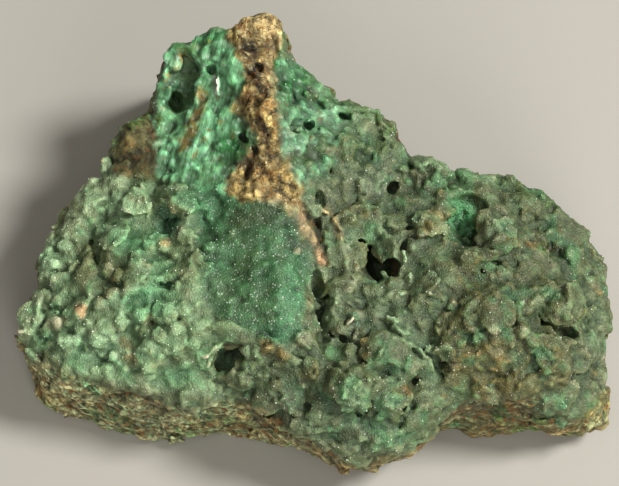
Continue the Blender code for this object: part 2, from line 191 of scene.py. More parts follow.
def line_depth(u, v, points, half):
    """How far inside a line of that half width each place is."""
    away = np.full(len(u), 1e9)
    for (ax, ay), (bx, by) in zip(points, points[1:]):
        ex, ey = bx - ax, by - ay
        t = np.clip(((u - ax) * ex + (v - ay) * ey) / max(ex * ex + ey * ey, 1e-9), 0, 1)
        away = np.minimum(away, (u - ax - t * ex) ** 2 + (v - ay - t * ey) ** 2)
    return half - np.sqrt(away)


def blob_depth(u, v, cu, cv, ru, rv, degrees=0.0):
    """How far inside an ellipse each place is."""
    a = math.radians(degrees)
    x = (u - cu) * math.cos(a) + (v - cv) * math.sin(a)
    y = -(u - cu) * math.sin(a) + (v - cv) * math.cos(a)
    return (1.0 - np.sqrt((x / ru) ** 2 + (y / rv) ** 2)) * min(ru, rv)


# ---------------------------------------------------------------- regions of the face
RIDGE = [(232, 28), (240, 18), (262, 8), (283, 20), (279, 45), (274, 62), (272, 78), (276, 115), (280, 140), (287, 166), (303, 191),
         (296, 204), (270, 200), (240, 202), (225, 192), (236, 166), (250, 150), (258, 138), (246, 118), (233, 112), (244, 80), (238, 50), (222, 38)]
LEDGE = [(288, 190), (304, 212), (316, 232), (322, 250), (322, 262)]
BLOCK = [(160, 45), (193, 34), (228, 28), (238, 50), (244, 80), (232, 112), (252, 132), (240, 165), (226, 192), (200, 190), (180, 182), (155, 178), (158, 112), (155, 85)]
SHOULDER = [(112, 150), (126, 120), (148, 110), (162, 116), (162, 150), (154, 178), (130, 182), (112, 172)]
EMERALDS = [(274, 60), (290, 56), (330, 86), (352, 100), (352, 125), (332, 150), (336, 162), (304, 184), (288, 168), (281, 140), (277, 110), (272, 80)]
DOME = [(168, 190), (205, 184), (240, 194), (285, 212), (306, 250), (314, 272), (304, 290), (305, 330), (290, 344), (262, 340), (240, 326), (215, 312), (198, 292), (206, 270), (198, 240), (202, 215), (180, 205)]
LEFT_FIELD = [(110, 172), (170, 180), (200, 210), (198, 240), (204, 275), (200, 300), (240, 328), (236, 345), (200, 372), (236, 400), (60, 372), (0, 350), (20, 240), (60, 190)]
RIGHT_MASS = [(410, 150), (640, 150), (640, 440), (455, 415), (440, 350), (420, 300), (405, 240), (398, 190)]
LOBE = [(240, 345), (330, 345), (400, 318), (452, 350), (455, 420), (430, 450), (350, 490), (240, 420), (232, 385)]
FRONT_BAND = [(0, 352), (57, 368), (84, 377), (121, 391), (151, 406), (188, 412), (228, 398), (250, 410), (270, 424), (300, 445), (344, 474), (330, 500), (0, 500)]
FRONT_BAND_RIGHT = [(436, 436), (453, 412), (481, 412), (525, 421), (560, 426), (583, 418), (592, 396), (620, 380), (620, 450), (440, 450)]

# Thin flakes and blades standing on the face: (u, v, half length, half thickness,
# height in mm, direction in degrees on the board, mineral).
FLAKES = [
    (219, 350, 4.4, 0.60, 2.0, -36, "cream"), (207, 366, 1.6, 0.45, 1.2, -60, "cream"),
    (335, 222, 2.2, 0.5, 1.4, 62, "tan"), (326, 208, 1.6, 0.5, 1.3, 40, "tan"), (342, 238, 1.6, 0.5, 1.2, 75, "cream"),
    (215, 85, 2.3, 0.4, 1.3, 85, "white"), (548, 232, 1.2, 0.5, 1.4, 20, "cream"), (541, 228, 0.8, 0.4, 1.1, -40, "cream"),
    (404, 330, 1.8, 0.45, 1.6, 30, "pale_green"), (414, 342, 1.8, 0.45, 1.7, 35, "mint"), (424, 352, 1.8, 0.45, 1.6, 40, "pale_green"),
    (432, 366, 1.7, 0.45, 1.5, 70, "mint"), (436, 330, 1.5, 0.45, 1.5, 60, "pale_green"), (394, 316, 1.6, 0.45, 1.4, 20, "pale_green"),
    (382, 352, 2.0, 0.55, 1.8, -60, "sage"), (144, 188, 2.0, 0.55, 1.4, 60, "mint"), (150, 208, 2.2, 0.5, 1.4, 80, "cream_green"),
    (134, 208, 2.0, 0.5, 1.4, 100, "cream_green"), (13, 338, 1.2, 0.5, 1.0, 30, "grey_green"), (24, 330, 1.4, 0.5, 1.0, -20, "cream"),
    (346, 318, 1.6, 0.45, 1.4, -60, "cream"), (338, 300, 1.6, 0.45, 1.4, -70, "mint"), (352, 302, 1.4, 0.4, 1.3, 50, "cream"),
    (400, 258, 1.8, 0.5, 1.4, 80, "pale_green"), (406, 278, 1.8, 0.5, 1.4, 100, "mint"), (398, 292, 1.6, 0.5, 1.3, 150, "pale_green"),
    (346, 262, 1.8, 0.5, 1.3, 80, "pale_green"), (352, 278, 1.6, 0.5, 1.3, 50, "pale_green"), (474, 200, 2.0, 0.5, 1.4, 20, "pale_green"),
    (488, 250, 1.6, 0.5, 1.4, 0, "pale_green"), (446, 236, 1.8, 0.5, 1.3, 100, "sage"), (548, 296, 1.7, 0.5, 1.2, -60, "cream_green"),
    (576, 322, 1.7, 0.5, 1.2, 100, "pale_green"), (570, 342, 1.8, 0.5, 1.3, 20, "sage"), (428, 296, 1.4, 0.45, 1.3, 30, "cream"),
    (312, 300, 1.6, 0.5, 1.2, 85, "mint"), (306, 348, 1.6, 0.5, 1.2, 20, "pale_green"), (436, 348, 1.6, 0.5, 1.3, -40, "cream"),
    (352, 405, 1.8, 0.5, 1.1, 0, "mint"), (370, 380, 1.6, 0.5, 1.2, 60, "mint"), (410, 410, 1.6, 0.5, 1.2, 120, "pale_green"),
    (268, 418, 1.6, 0.5, 1.0, 30, "sage"), (236, 388, 1.5, 0.5, 1.1, 20, "pale_green"), (168, 200, 1.8, 0.5, 1.2, 0, "sage"),
]

# Pits and crevices: (u, v, radius across, radius along, depth in mm, direction).
PITS = [
    (97, 258, 0.9, 1.9, 2.4, 60), (67, 279, 0.8, 1.5, 2.0, 20), (160, 282, 0.8, 2.6, 2.4, 10), (184, 286, 0.8, 2.2, 2.2, -12), (85, 300, 0.8, 1.4, 1.8, 80),
    (118, 262, 0.8, 1.5, 2.0, 120), (60, 332, 0.8, 1.6, 1.8, 0), (44, 352, 1.4, 1.8, 2.4, 40), (40, 372, 1.8, 2.6, 3.0, 60), (150, 322, 0.8, 1.6, 1.8, 60),
    (107, 314, 0.8, 1.5, 1.6, 20), (92, 236, 0.8, 1.4, 2.0, 100), (196, 316, 0.9, 1.8, 2.2, 60), (210, 68, 1.1, 1.4, 2.6, 0), (176, 100, 1.6, 2.2, 4.0, 90),
    (344, 115, 0.9, 1.3, 2.4, 0), (308, 125, 0.7, 0.9, 2.4, 0), (320, 194, 0.9, 2.4, 2.4, 80), (318, 221, 0.9, 1.7, 2.4, 80), (384, 305, 0.8, 0.9, 2.6, 0),
    (332, 327, 0.8, 1.7, 3.0, 110), (322, 290, 1.0, 2.6, 3.4, 95), (324, 340, 1.1, 1.8, 3.6, 70), (300, 371, 0.8, 1.7, 2.4, 60), (304, 406, 0.9, 1.5, 2.2, 120),
    (353, 415, 0.8, 1.6, 2.2, 10), (386, 418, 1.0, 1.2, 2.4, 0), (406, 391, 1.4, 1.9, 3.0, -20), (444, 364, 1.7, 2.6, 3.6, 80), (418, 380, 0.9, 2.8, 4.2, -8),
    (458, 273, 0.6, 2.2, 2.2, 70), (487, 266, 0.8, 1.1, 2.2, 0), (462, 298, 0.8, 1.1, 2.0, 0), (499, 304, 0.8, 1.2, 2.0, 30), (569, 335, 1.6, 2.0, 3.8, 0),
    (540, 318, 1.0, 2.0, 2.6, 100), (526, 316, 0.7, 1.3, 1.8, 60), (444, 305, 0.7, 1.5, 1.8, 120), (430, 320, 0.7, 1.5, 2.0, 100), (402, 244, 0.9, 1.6, 2.4, 100),
    (372, 232, 0.8, 1.5, 2.0, 40), (410, 226, 0.8, 1.4, 2.2, 30), (346, 176, 0.8, 1.4, 2.0, 80), (366, 200, 0.9, 1.8, 2.2, 10), (332, 172, 0.8, 1.2, 2.0, 0),
    (500, 262, 0.8, 1.6, 2.0, 10), (470, 300, 0.7, 1.2, 1.6, 60), (560, 282, 0.8, 1.6, 2.0, 10), (590, 318, 0.9, 1.3, 2.0, 80), (590, 372, 0.9, 1.5, 2.0, 60),
    (261, 68, 0.8, 1.3, 2.0, 60), (249, 50, 0.7, 1.2, 1.6, 0), (252, 74, 0.6, 1.0, 1.6, 0), (269, 140, 0.6, 1.5, 2.0, 80), (244, 168, 0.8, 1.6, 2.0, 100),
    (240, 140, 1.0, 1.3, 2.2, 30), (252, 148, 0.8, 1.2, 2.0, 60), (294, 96, 0.8, 1.4, 1.8, 60), (278, 84, 0.6, 1.5, 1.6, 80), (322, 104, 0.8, 1.3, 1.8, 20),
    (236, 366, 1.6, 2.0, 2.6, -30), (252, 388, 0.8, 1.6, 2.0, 60), (272, 372, 0.7, 1.5, 1.8, 100), (330, 380, 0.8, 1.9, 2.4, 100), (368, 412, 0.8, 1.6, 2.0, 80),
    (318, 430, 0.8, 1.5, 1.8, 30), (398, 432, 0.8, 1.4, 1.8, 100), (420, 428, 0.7, 1.2, 1.6, 60), (340, 340, 0.8, 1.8, 2.6, 70), (360, 352, 0.7, 1.6, 2.0, 60),
    (516, 236, 0.8, 1.6, 2.0, 30), (534, 220, 0.7, 1.3, 1.8, 80), (470, 204, 0.8, 1.4, 2.0, 20), (440, 168, 0.8, 1.3, 1.8, 30), (428, 216, 0.8, 1.4, 2.2, 110),
]

# Open vugs, carved again so that their walls are smooth: (u, v, half width in mm,
# half length, depth, direction in degrees on the board, lift of the centre in mm).
VUGS = [
    (377, 263, 2.7, 4.4, 5.0, 76, 0.3), (358, 240, 1.5, 2.3, 3.0, -24, 0.3), (389, 268, 1.6, 2.2, 5.0, 90, 0.3),
    (474, 238, 2.1, 2.5, 2.5, 0, 0.2), (392, 190, 1.5, 1.6, 2.0, 0, 0.2), (448, 226, 2.2, 3.4, 2.2, 70, 0.8), (470, 206, 2.6, 3.2, 1.8, 20, 0.9),
    (186, 72, 3.0, 3.6, 1.4, 40, 0.9), (570, 334, 1.6, 2.4, 4.0, 0, 0.2), (540, 322, 2.4, 2.8, 2.4, 0, 0.6),
    (318, 282, 1.3, 2.9, 3.0, 85, 0.5), (325, 338, 1.5, 1.9, 3.0, 40, 0.4),
    (308, 122, 0.9, 1.3, 2.6, 0, 0.2), (344, 115, 0.9, 1.3, 2.6, 0, 0.3), (320, 196, 1.3, 2.2, 2.6, 80, 0.4),
    (229, 359, 2.3, 4.3, 1.8, -35, 0.6), (166, 232, 1.8, 2.2, 1.6, 82, 0.4),
]
# Grape-like groups of smooth balls: (u, v, radius in mm, lift in mm).
GROUP_BALLS = [
    (563, 309, 2.8, -1.0), (546, 330, 1.4, -2.4), (552, 342, 1.3, -1.6),
    (48, 330, 1.8, 0.2), (38, 322, 1.5, 0.2), (30, 334, 1.4, 0.0), (62, 336, 1.6, 0.2), (50, 344, 1.5, 0.0), (70, 322, 1.3, 0.2), (78, 340, 1.6, 0.1),
    (70, 256, 2.0, 0.0), (58, 282, 1.8, 0.0), (84, 270, 1.9, 0.0), (92, 290, 2.2, -0.2), (106, 272, 1.9, 0.0), (60, 300, 1.5, 0.1),
    (186, 236, 2.0, 0.1), (176, 254, 1.7, 0.1), (196, 258, 1.9, 0.2), (190, 276, 1.8, 0.0), (206, 268, 1.5, 0.2), (166, 262, 1.5, 0.1),
    (180, 196, 3.0, -0.8), (192, 206, 2.4, -0.4), (172, 190, 1.8, -0.2),
    (372, 168, 3.0, -1.2), (384, 160, 2.2, -0.6), (366, 184, 2.2, -0.6), (380, 180, 2.4, -0.8), (354, 172, 1.8, -0.4),
    (340, 290, 1.5, 0.1), (334, 302, 1.4, 0.2), (344, 308, 1.6, 0.1), (336, 318, 1.3, 0.1), (352, 314, 1.4, 0.1), (358, 302, 1.3, 0.1),
    (358, 336, 1.8, 0.0), (366, 348, 1.6, 0.1), (352, 350, 1.5, 0.1), (344, 366, 1.7, 0.0), (356, 372, 1.6, 0.1),
    (350, 390, 2.4, -0.4), (360, 402, 2.2, -0.3), (344, 404, 2.0, -0.3), (386, 404, 2.2, -0.3), (378, 392, 1.6, 0.0), (394, 396, 1.6, 0.0),
    (262, 376, 1.5, 0.1), (272, 386, 1.6, 0.1), (284, 398, 1.6, 0.1), (254, 362, 1.4, 0.1), (290, 410, 1.5, 0.0), (276, 402, 1.4, 0.0), (300, 386, 1.6, 0.0),
    (308, 362, 1.6, 0.2), (311, 374, 1.6, 0.1), (420, 176, 2.2, -0.6), (432, 182, 2.6, -0.8), (440, 172, 2.2, -0.6),
    (440, 320, 1.8, 0.0), (452, 306, 1.7, 0.0), (428, 306, 1.6, 0.0), (480, 342, 1.6, 0.0), (470, 328, 1.8, -0.1), (508, 346, 1.6, 0.0),
    (584, 352, 1.8, -0.1), (590, 338, 1.6, 0.0), (578, 364, 1.6, 0.0), (588, 310, 1.6, 0.0),
]

# Round balls that stand on the face: (u, v, radius in mm, lift in mm).
BALLS = [
    (209, 245, 1.2, 0.5), (57, 321, 1.3, 0.6), (81, 311, 1.5, 0.4), (292, 129, 1.3, -0.2), (493, 330, 1.2, 0.5), (525, 332, 1.3, 0.5), (177, 65, 1.6, 0.2), (263, 30, 4.2, -2.9),
    (424, 216, 1.3, 0.5), (432, 224, 1.2, 0.6), (440, 214, 1.2, 0.5), (440, 228, 1.3, 0.6), (422, 230, 1.1, 0.5), (267, 348, 1.3, 0.4), (280, 355, 1.2, 0.4),
    (478, 222, 1.5, 0.6), (486, 232, 1.6, 0.8), (496, 226, 1.4, 0.7), (504, 236, 1.5, 0.6), (494, 242, 1.4, 0.5), (484, 214, 1.3, 0.5), (508, 222, 1.3, 0.4),
    (332, 354, 1.6, 0.4), (298, 250, 1.0, 0.4), (516, 302, 1.3, 0.4), (536, 340, 1.4, 0.4), (350, 290, 1.1, 0.4), (164, 243, 1.2, 0.4), (120, 276, 1.6, 0.4),
    (100, 300, 1.5, 0.4), (136, 262, 1.6, 0.4), (150, 246, 1.4, 0.4), (88, 262, 1.4, 0.4), (72, 268, 1.3, 0.4), (64, 246, 1.5, 0.4), (52, 262, 1.3, 0.3),
    (130, 288, 1.7, 0.5), (112, 292, 1.5, 0.4), (78, 330, 1.5, 0.4), (96, 340, 1.6, 0.4), (120, 322, 1.6, 0.4), (140, 312, 1.6, 0.4), (168, 310, 1.7, 0.5),
    (186, 306, 1.6, 0.4), (176, 328, 1.6, 0.4), (158, 336, 1.6, 0.4), (196, 346, 1.5, 0.3), (182, 362, 1.5, 0.3), (150, 368, 1.5, 0.3), (112, 356, 1.4, 0.3),
]

# ---------------------------------------------------------------- the field
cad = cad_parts[NODE]
cad_mesh = cad.data
cad_mesh.calc_loop_triangles()
co = np.empty(len(cad_mesh.vertices) * 3, np.float32)
cad_mesh.vertices.foreach_get("co", co)
place_cad = np.array(cad.matrix_world)
co = (co.reshape(-1, 3) @ place_cad[:3, :3].T + place_cad[:3, 3]) * 1000.0
tri = np.empty(len(cad_mesh.loop_triangles) * 3, np.int32)
cad_mesh.loop_triangles.foreach_get("vertices", tri)
tri = tri.reshape(-1, 3).astype(np.uint32)

low = np.floor((co.min(0) - MARGIN) / GRAIN).astype(int)
high = np.ceil((co.max(0) + MARGIN) / GRAIN).astype(int)
shape = tuple(high - low + 1)
BAND = 9.0
transform = openvdb.createLinearTransform(voxelSize=GRAIN)
solid = openvdb.FloatGrid.createLevelSetFromPolygons(
    points=np.ascontiguousarray(co, np.float32), triangles=np.ascontiguousarray(tri), transform=transform, halfWidth=BAND
)
field = np.zeros(shape, np.float32)
solid.copyToArray(field, ijk=tuple(int(i) for i in low))
axis_x, axis_y, axis_z = ((np.arange(n) + o) * GRAIN for n, o in zip(shape, low))


def blur(a, times):
    """Softens a field, one grid step a time."""
    for _ in range(times):
        for axis in range(3):
            a = np.moveaxis(a, axis, 0)
            a[1:-1] = 0.25 * a[:-2] + 0.5 * a[1:-1] + 0.25 * a[2:]
            a = np.moveaxis(a, 0, axis)
    return a


def box_blur(a, radius):
    """Mean over a cube of 2 radius + 1 cells, by running sums."""
    a = a.astype(np.float32)
    for axis in range(3):
        a = np.moveaxis(a, axis, 0)
        pad = np.concatenate([np.repeat(a[:1], radius + 1, 0), a, np.repeat(a[-1:], radius, 0)])
        run = np.cumsum(pad, axis=0, dtype=np.float64)
        a = ((run[2 * radius + 1 :] - run[: -2 * radius - 1]) / (2 * radius + 1)).astype(np.float32)
        a = np.moveaxis(a, 0, axis)
    return a


def sample(a, points):
    """The field's value at points (mm), trilinear."""
    p = points / GRAIN - low
    base = np.clip(np.floor(p).astype(int), 0, np.array(shape) - 2)
    f = p - base
    out = 0.0
    for dx in (0, 1):
        for dy in (0, 1):
            for dz in (0, 1):
                w = (f[:, 0] if dx else 1 - f[:, 0]) * (f[:, 1] if dy else 1 - f[:, 1]) * (f[:, 2] if dz else 1 - f[:, 2])
                out = out + w * a[base[:, 0] + dx, base[:, 1] + dy, base[:, 2] + dz]
    return out


def slope(a, points, step):
    """Unit outward direction of the field at points."""
    g = np.stack([sample(a, points + step * e) - sample(a, points - step * e) for e in np.eye(3)], 1)
    return g / np.maximum(np.linalg.norm(g, axis=1), 1e-6)[:, None]


field = blur(field, 3)
broad = blur(field[::2, ::2, ::2].copy(), 6)  # the rock without its small relief


def broad_slope(points):
    """Outward direction of the rock's broad shape."""
    p = (points / GRAIN - low) / 2.0
    n = np.array(broad.shape)
    g = []
    for e in np.eye(3):
        a = np.clip(np.rint(p + 2 * e).astype(int), 0, n - 1)
        b = np.clip(np.rint(p - 2 * e).astype(int), 0, n - 1)
        g.append(broad[a[:, 0], a[:, 1], a[:, 2]] - broad[b[:, 0], b[:, 1], b[:, 2]])
    g = np.stack(g, 1)
    return g / np.maximum(np.linalg.norm(g, axis=1), 1e-6)[:, None]


def surface(a, adaptivity=0.0):
    """Points and faces of the field's zero surface."""
    grid = openvdb.FloatGrid(BAND * GRAIN)
    grid.transform = transform
    grid.copyFromArray(a, ijk=tuple(int(i) for i in low))
    points, tris, quads = grid.convertToPolygons(0.0, adaptivity)
    return points, tris, quads


def shape_depth(u, v, spec):
    return {"poly": polygon_depth, "line": line_depth, "blob": blob_depth}[spec[0]](u, v, *spec[1:])


def regions(points):
    """Weight from 0 to 1 of each region of the rock at points."""
    u, v = drawn_at(points)
    wu = u + 5.0 * lattice_noise(points, 3.5, 101) + 3.0 * lattice_noise(points, 1.2, 102)
    wv = v + 5.0 * lattice_noise(points, 3.5, 103) + 3.0 * lattice_noise(points, 1.2, 104)
    out = broad_slope(points)
    lean = out[:, 2] + 0.10 * lattice_noise(points, 4.0, 105)
    wall = 1.0 - soft(lean, 0.18, 0.42)
    under = soft(-out[:, 2], 0.5, 0.8)
    r = {"wall": wall, "under": under}
    top = 1.0 - wall
    r["ridge"] = top * soft(polygon_depth(wu, wv, RIDGE), -3, 4)
    r["ledge"] = top * soft(line_depth(wu, wv, LEDGE, 6.0), -2, 3)
    r["block"] = top * soft(polygon_depth(wu, wv, BLOCK), -3, 4) * (1 - r["ridge"])
    r["shoulder"] = top * soft(polygon_depth(wu, wv, SHOULDER), -3, 4)
    r["emeralds"] = top * soft(polygon_depth(wu, wv, EMERALDS), -3, 4) * (1 - r["ridge"])
    r["dome"] = top * soft(polygon_depth(wu, wv, DOME), -4, 6)
    r["left"] = top * soft(polygon_depth(wu, wv, LEFT_FIELD), -3, 4) * (1 - r["dome"])
    r["right"] = top * soft(polygon_depth(wu, wv, RIGHT_MASS), -4, 6)
    r["lobe"] = top * soft(polygon_depth(wu, wv, LOBE), -4, 6)
    rest = np.clip(1 - sum(r[k] for k in ("wall", "ridge", "ledge", "block", "shoulder", "emeralds", "dome", "left", "right", "lobe")), 0, 1)
    r["middle"] = rest
    return r


def fibres_noise(points, u, v):
    """Noise drawn out along the block's fibres."""
    across, along = (u * 0.95 + v * 0.30) * UNIT, (v * 0.95 - u * 0.30) * UNIT
    return lattice_noise(np.stack([across / 0.7, along / 4.5, points[:, 2] / 6.0], 1), 1.0, 218)


# ---------------------------------------------------------------- relief of the matrix
cells = np.argwhere(np.abs(field) < 2.2)
where = ((cells + low) * GRAIN).astype(np.float64)
reg = regions(where)
u_c, v_c = drawn_at(where)
stony = np.clip(reg["wall"] + 0.55 * reg["ridge"] + 0.35 * reg["block"] + 0.3 * reg["shoulder"] + 0.3 * reg["emeralds"], 0, 1)
crust = np.clip(1.0 - stony - 0.75 * reg["dome"], 0, 1)
rocky = np.clip(reg["ridge"] + 0.4 * reg["emeralds"] + 0.5 * reg["ledge"], 0, 1)
push = reg["wall"] * (0.55 * broken_blocks(where, 6.0, 201) + 0.45 * layered(where, 1.5, 6.0, 220) + 0.22 * layered(where, 0.7, 3.0, 221) + 0.22 * rough_noise(where, 2.2, 203))
push += rocky * (0.30 * broken_blocks(where, 2.6, 202) + 0.16 * broken_blocks(where, 1.3, 205) + 0.30 * rough_noise(where, 1.7, 206))
crest = 0.5 - np.abs(lattice_noise(where, 4.6, 208))
push += crust * (0.85 * lattice_noise(where, 5.0, 204) + 0.22 * lattice_noise(where, 2.0, 207) + (0.3 + 0.8 * (reg["right"] + reg["middle"] + reg["lobe"])) * crest)
push += reg["dome"] * (0.35 * lattice_noise(where, 6.0, 210) + 0.06 * lattice_noise(where, 1.6, 211))
# the block's fibrous bands run down and a little to the left
across = (u_c * 0.95 + v_c * 0.30) * UNIT
push += reg["block"] * (0.05 * np.sin(across * 5.4 + 3.0 * lattice_noise(where, 3.0, 212)) + 0.22 * fibres_noise(where, u_c, v_c) + 0.55 * lattice_noise(where, 3.4, 213) + 0.25 * rough_noise(where, 1.6, 214))
push += reg["shoulder"] * (0.25 * rough_noise(where, 1.5, 215) + 0.15 * np.sin(across * 7.0 + 2.0 * lattice_noise(where, 2.0, 216)))
push *= np.where(where[:, 2] < 1.2, 0.35, 1.0)
field[cells[:, 0], cells[:, 1], cells[:, 2]] -= push.astype(np.float32)
del cells, where, reg, push


# ---------------------------------------------------------------- adding and carving
def stamp(centre, radii, axes, blend, carve=False):
    """Joins an ellipsoid to the field, or carves it out."""
    reach = max(radii) + blend + 2 * GRAIN
    a = np.maximum(np.floor((centre - reach) / GRAIN).astype(int) - low, 0)
    b = np.minimum(np.ceil((centre + reach) / GRAIN).astype(int) - low + 1, shape)
    if (b <= a).any():
        return
    part = field[a[0] : b[0], a[1] : b[1], a[2] : b[2]]
    x = axis_x[a[0] : b[0], None, None] - centre[0]
    y = axis_y[None, a[1] : b[1], None] - centre[1]
    z = axis_z[None, None, a[2] : b[2]] - centre[2]
    if axes is None:
        d = np.sqrt(x * x + y * y + z * z) - radii[0]
    else:
        q = 0.0
        for e, r in zip(axes, radii):
            q = q + ((x * e[0] + y * e[1] + z * e[2]) / r) ** 2
        d = (np.sqrt(q) - 1.0) * min(radii)
    if carve:
        h = np.clip(0.5 - 0.5 * (part + d) / blend, 0.0, 1.0)
        part[:] = part + (-d - part) * h + blend * h * (1 - h)
    else:
        h = np.clip(0.5 + 0.5 * (part - d) / blend, 0.0, 1.0)
        part[:] = part + (d - part) * h - blend * h * (1 - h)


skin, _, _ = surface(field)
skin = skin.astype(np.float64)
skin_out = slope(field, skin, 0.6)
su, sv = drawn_at(skin)
skin_reg = regions(skin)
front = skin[:, 2] * 0  # zeros, one for each skin point; not used
look = kdtree.KDTree(len(skin[::3]))
for i, (uu, vv) in enumerate(zip(su[::3], sv[::3])):
    look.insert((uu, vv, 0.0), i)
look.balance()
toward_eye = (skin - EYE) @ OUT


def on_skin(u, v):
    """The skin's point that the board shows at (u, v): the nearest to the eye."""
    near = [i * 3 for _, i, _ in look.find_n((u, v, 0.0), 14)]
    return skin[max(near, key=lambda i: toward_eye[i])]


def board_axes(degrees):
    """Directions along, across and out of the board, turned on it."""
    a = math.radians(degrees)
    along = RIGHT * math.cos(a) - UP * math.sin(a)
    return along, np.cross(OUT, along), OUT


for u, v, across_r, along_r, deep, degrees in PITS:
    stamp(on_skin(u, v) + OUT * 0.2, (along_r, across_r, deep), board_axes(degrees), 0.25, carve=True)

# knobs, bumps and crumbs, one in each cell of a grid over the skin
lumps = []


def scatter(cell, seed):
    """Indices of skin points, one for each cell of that size (mm)."""
    order = np.random.default_rng(seed).permutation(len(skin))
    keys = np.floor(skin[order] / cell + 0.37).astype(np.int64)
    code = (keys[:, 0] * 4001 + keys[:, 1]) * 4001 + keys[:, 2]
    _, first = np.unique(code, return_index=True)
    return order[first]


def grow(cell, seed, chance, radius, sink, blend):
    """Adds round bumps where chance allows; radius is (small, large) in mm."""
    picked = scatter(cell, seed)
    source = np.random.default_rng(seed + 1)
    keep = source.uniform(size=len(picked)) < chance[picked]
    picked = picked[keep]
    sizes = radius[0] + (radius[1] - radius[0]) * source.uniform(size=len(picked)) ** 1.5
    deeps = source.uniform(sink[0], sink[1], len(picked))
    for i, r, s in zip(picked, sizes, deeps):
        centre = skin[i] - skin_out[i] * r * s
        if centre[2] < 1.5:
            continue
        stamp(centre, (r,), None, blend)
        lumps.append((centre, r))


def shelves(cell, seed, chance, radius, thick, lobes, blend=0.10):
    """Adds low waxy shelves, each with a scalloped edge of small lobes along part of its rim."""
    picked = scatter(cell, seed)
    source = np.random.default_rng(seed + 1)
    picked = picked[source.uniform(size=len(picked)) < chance[picked]]
    source.shuffle(picked)
    for i in picked:
        r = radius[0] + (radius[1] - radius[0]) * source.uniform() ** 1.4
        t = r * source.uniform(*thick)
        out = skin_out[i] * 0.5 + skin_broad[i] * 0.5 + source.normal(size=3) * 0.13
        out /= np.linalg.norm(out)
        side = np.cross(out, source.normal(size=3))
        side /= np.linalg.norm(side)
        third = np.cross(out, side)
        centre = skin[i] - out * t * source.uniform(0.25, 0.65)
        if centre[2] < 2.0:
            continue
        squeeze = source.uniform(0.65, 1.0)
        stamp(centre, (r, r * squeeze, t), (side, third, out), blend)
        lumps.append((centre + out * t, r))
        start, sweep = source.uniform(0, 2 * math.pi), source.uniform(2.4, 5.0)
        step = 0.0
        while step < sweep:
            small = r * source.uniform(0.20, 0.36) if lobes == "fine" else source.uniform(0.5, 0.95)
            a = start + step
            rim = centre + (side * math.cos(a) + third * math.sin(a) * squeeze) * r * source.uniform(0.80, 0.98) + out * t * source.uniform(-0.1, 0.35)
            stamp(rim, (small, small, max(0.42, small * source.uniform(0.55, 0.9))), (side, third, out), blend)
            step += 1.25 * small / r


R = skin_reg
skin_broad = broad_slope(skin)
drusy = np.clip(R["left"] + R["right"] + R["lobe"] + R["middle"], 0, 1)
shelves(5.2, 11, 0.55 * drusy, (2.4, 4.2), (0.24, 0.36), "rim")
shelves(3.1, 14, 0.50 * drusy + 0.08 * R["shoulder"] + 0.10 * R["emeralds"], (1.3, 2.4), (0.32, 0.50), "rim")
shelves(2.1, 17, 0.34 * drusy + 0.25 * R["emeralds"] + 0.25 * R["shoulder"] + 0.10 * R["block"], (0.8, 1.35), (0.45, 0.7), "fine")
grapes = soft(lattice_noise(skin, 5.0, 302), 0.15, 0.45)
grow(1.7, 21, 0.42 * drusy * grapes + 0.10 * R["emeralds"] + 0.10 * R["shoulder"], (0.7, 1.3), (0.0, 0.5), 0.12)
for u, v, across_r, along_r, deep, degrees, lift in VUGS:
    stamp(on_skin(u, v) + OUT * lift, (along_r, across_r, deep), board_axes(degrees), 0.3, carve=True)
for u, v, r, lift in BALLS:
    centre = on_skin(u, v) + OUT * lift
    stamp(centre, (r,), None, 0.15)
    lumps.append((centre, r))
for u, v, r, z_lift in GROUP_BALLS:
    centre = on_skin(u, v) + OUT * (z_lift - 0.25 * r)
    stamp(centre, (r, r * rng.uniform(0.75, 1.0), r * rng.uniform(0.7, 0.95)), board_axes(rng.uniform(0, 360)), 0.12)
    lumps.append((centre, r))
    for _ in range(int(4 + 3 * r)):
        way = RIGHT * rng.normal() + UP * rng.normal() + OUT * abs(rng.normal())
        way /= np.linalg.norm(way)
        small = rng.uniform(0.35, 0.55) * r * 0.75
        stamp(centre + way * r * rng.uniform(0.72, 0.9), (small,), None, 0.12)
flakes = []
for u, v, half, thick, height, degrees, mineral in FLAKES:
    centre = on_skin(u, v) + OUT * 0.25
    stamp(centre, (half, thick, height), board_axes(degrees), 0.15)
    flakes.append((centre, half, mineral))

# a second skin for the fine druse that grows on the knobs
skin, _, _ = surface(field)
skin = skin.astype(np.float64)
skin_out = slope(field, skin, 0.5)
R = regions(skin)
drusy = R["left"] + R["right"] + R["lobe"] + R["middle"]
grow(0.95, 41, 0.10 * drusy + 0.22 * R["emeralds"] + 0.05 * R["dome"] + 0.15 * R["shoulder"] + 0.16 * R["ridge"] + 0.05 * R["block"] + 0.08 * R["wall"], (0.34, 0.50), (-0.1, 0.4), 0.10)

# nothing in the rock is a true sphere: the field is warped a little everywhere
cells = np.argwhere(np.abs(field) < 1.3)
where = ((cells + low) * GRAIN).astype(np.float64)
shift = np.stack([0.50 * lattice_noise(where, 2.3, 700 + k) + 0.26 * lattice_noise(where, 1.05, 710 + k) for k in range(3)], 1)
shift *= (1.0 - 0.7 * soft(1.6 - where[:, 2], 0.0, 1.5))[:, None]
moved = sample(field, where + shift)
moved -= 0.05 * lattice_noise(where, 0.75, 720)
field[cells[:, 0], cells[:, 1], cells[:, 2]] = moved.astype(np.float32)
del cells, where, shift, moved

# the flat underside
field[:] = np.maximum(field, (GRAIN * 0.02 - axis_z)[None, None, :].astype(np.float32))

# ---------------------------------------------------------------- the mesh
points, tris, quads = surface(field, 0.0)
points = points.astype(np.float64)
tris = tris.astype(np.int64).reshape(-1, 3)
quads = quads.astype(np.int64).reshape(-1, 4)
faces = np.concatenate([tris, quads[:, [0, 1, 2]], quads[:, [0, 2, 3]]])[:, ::-1]

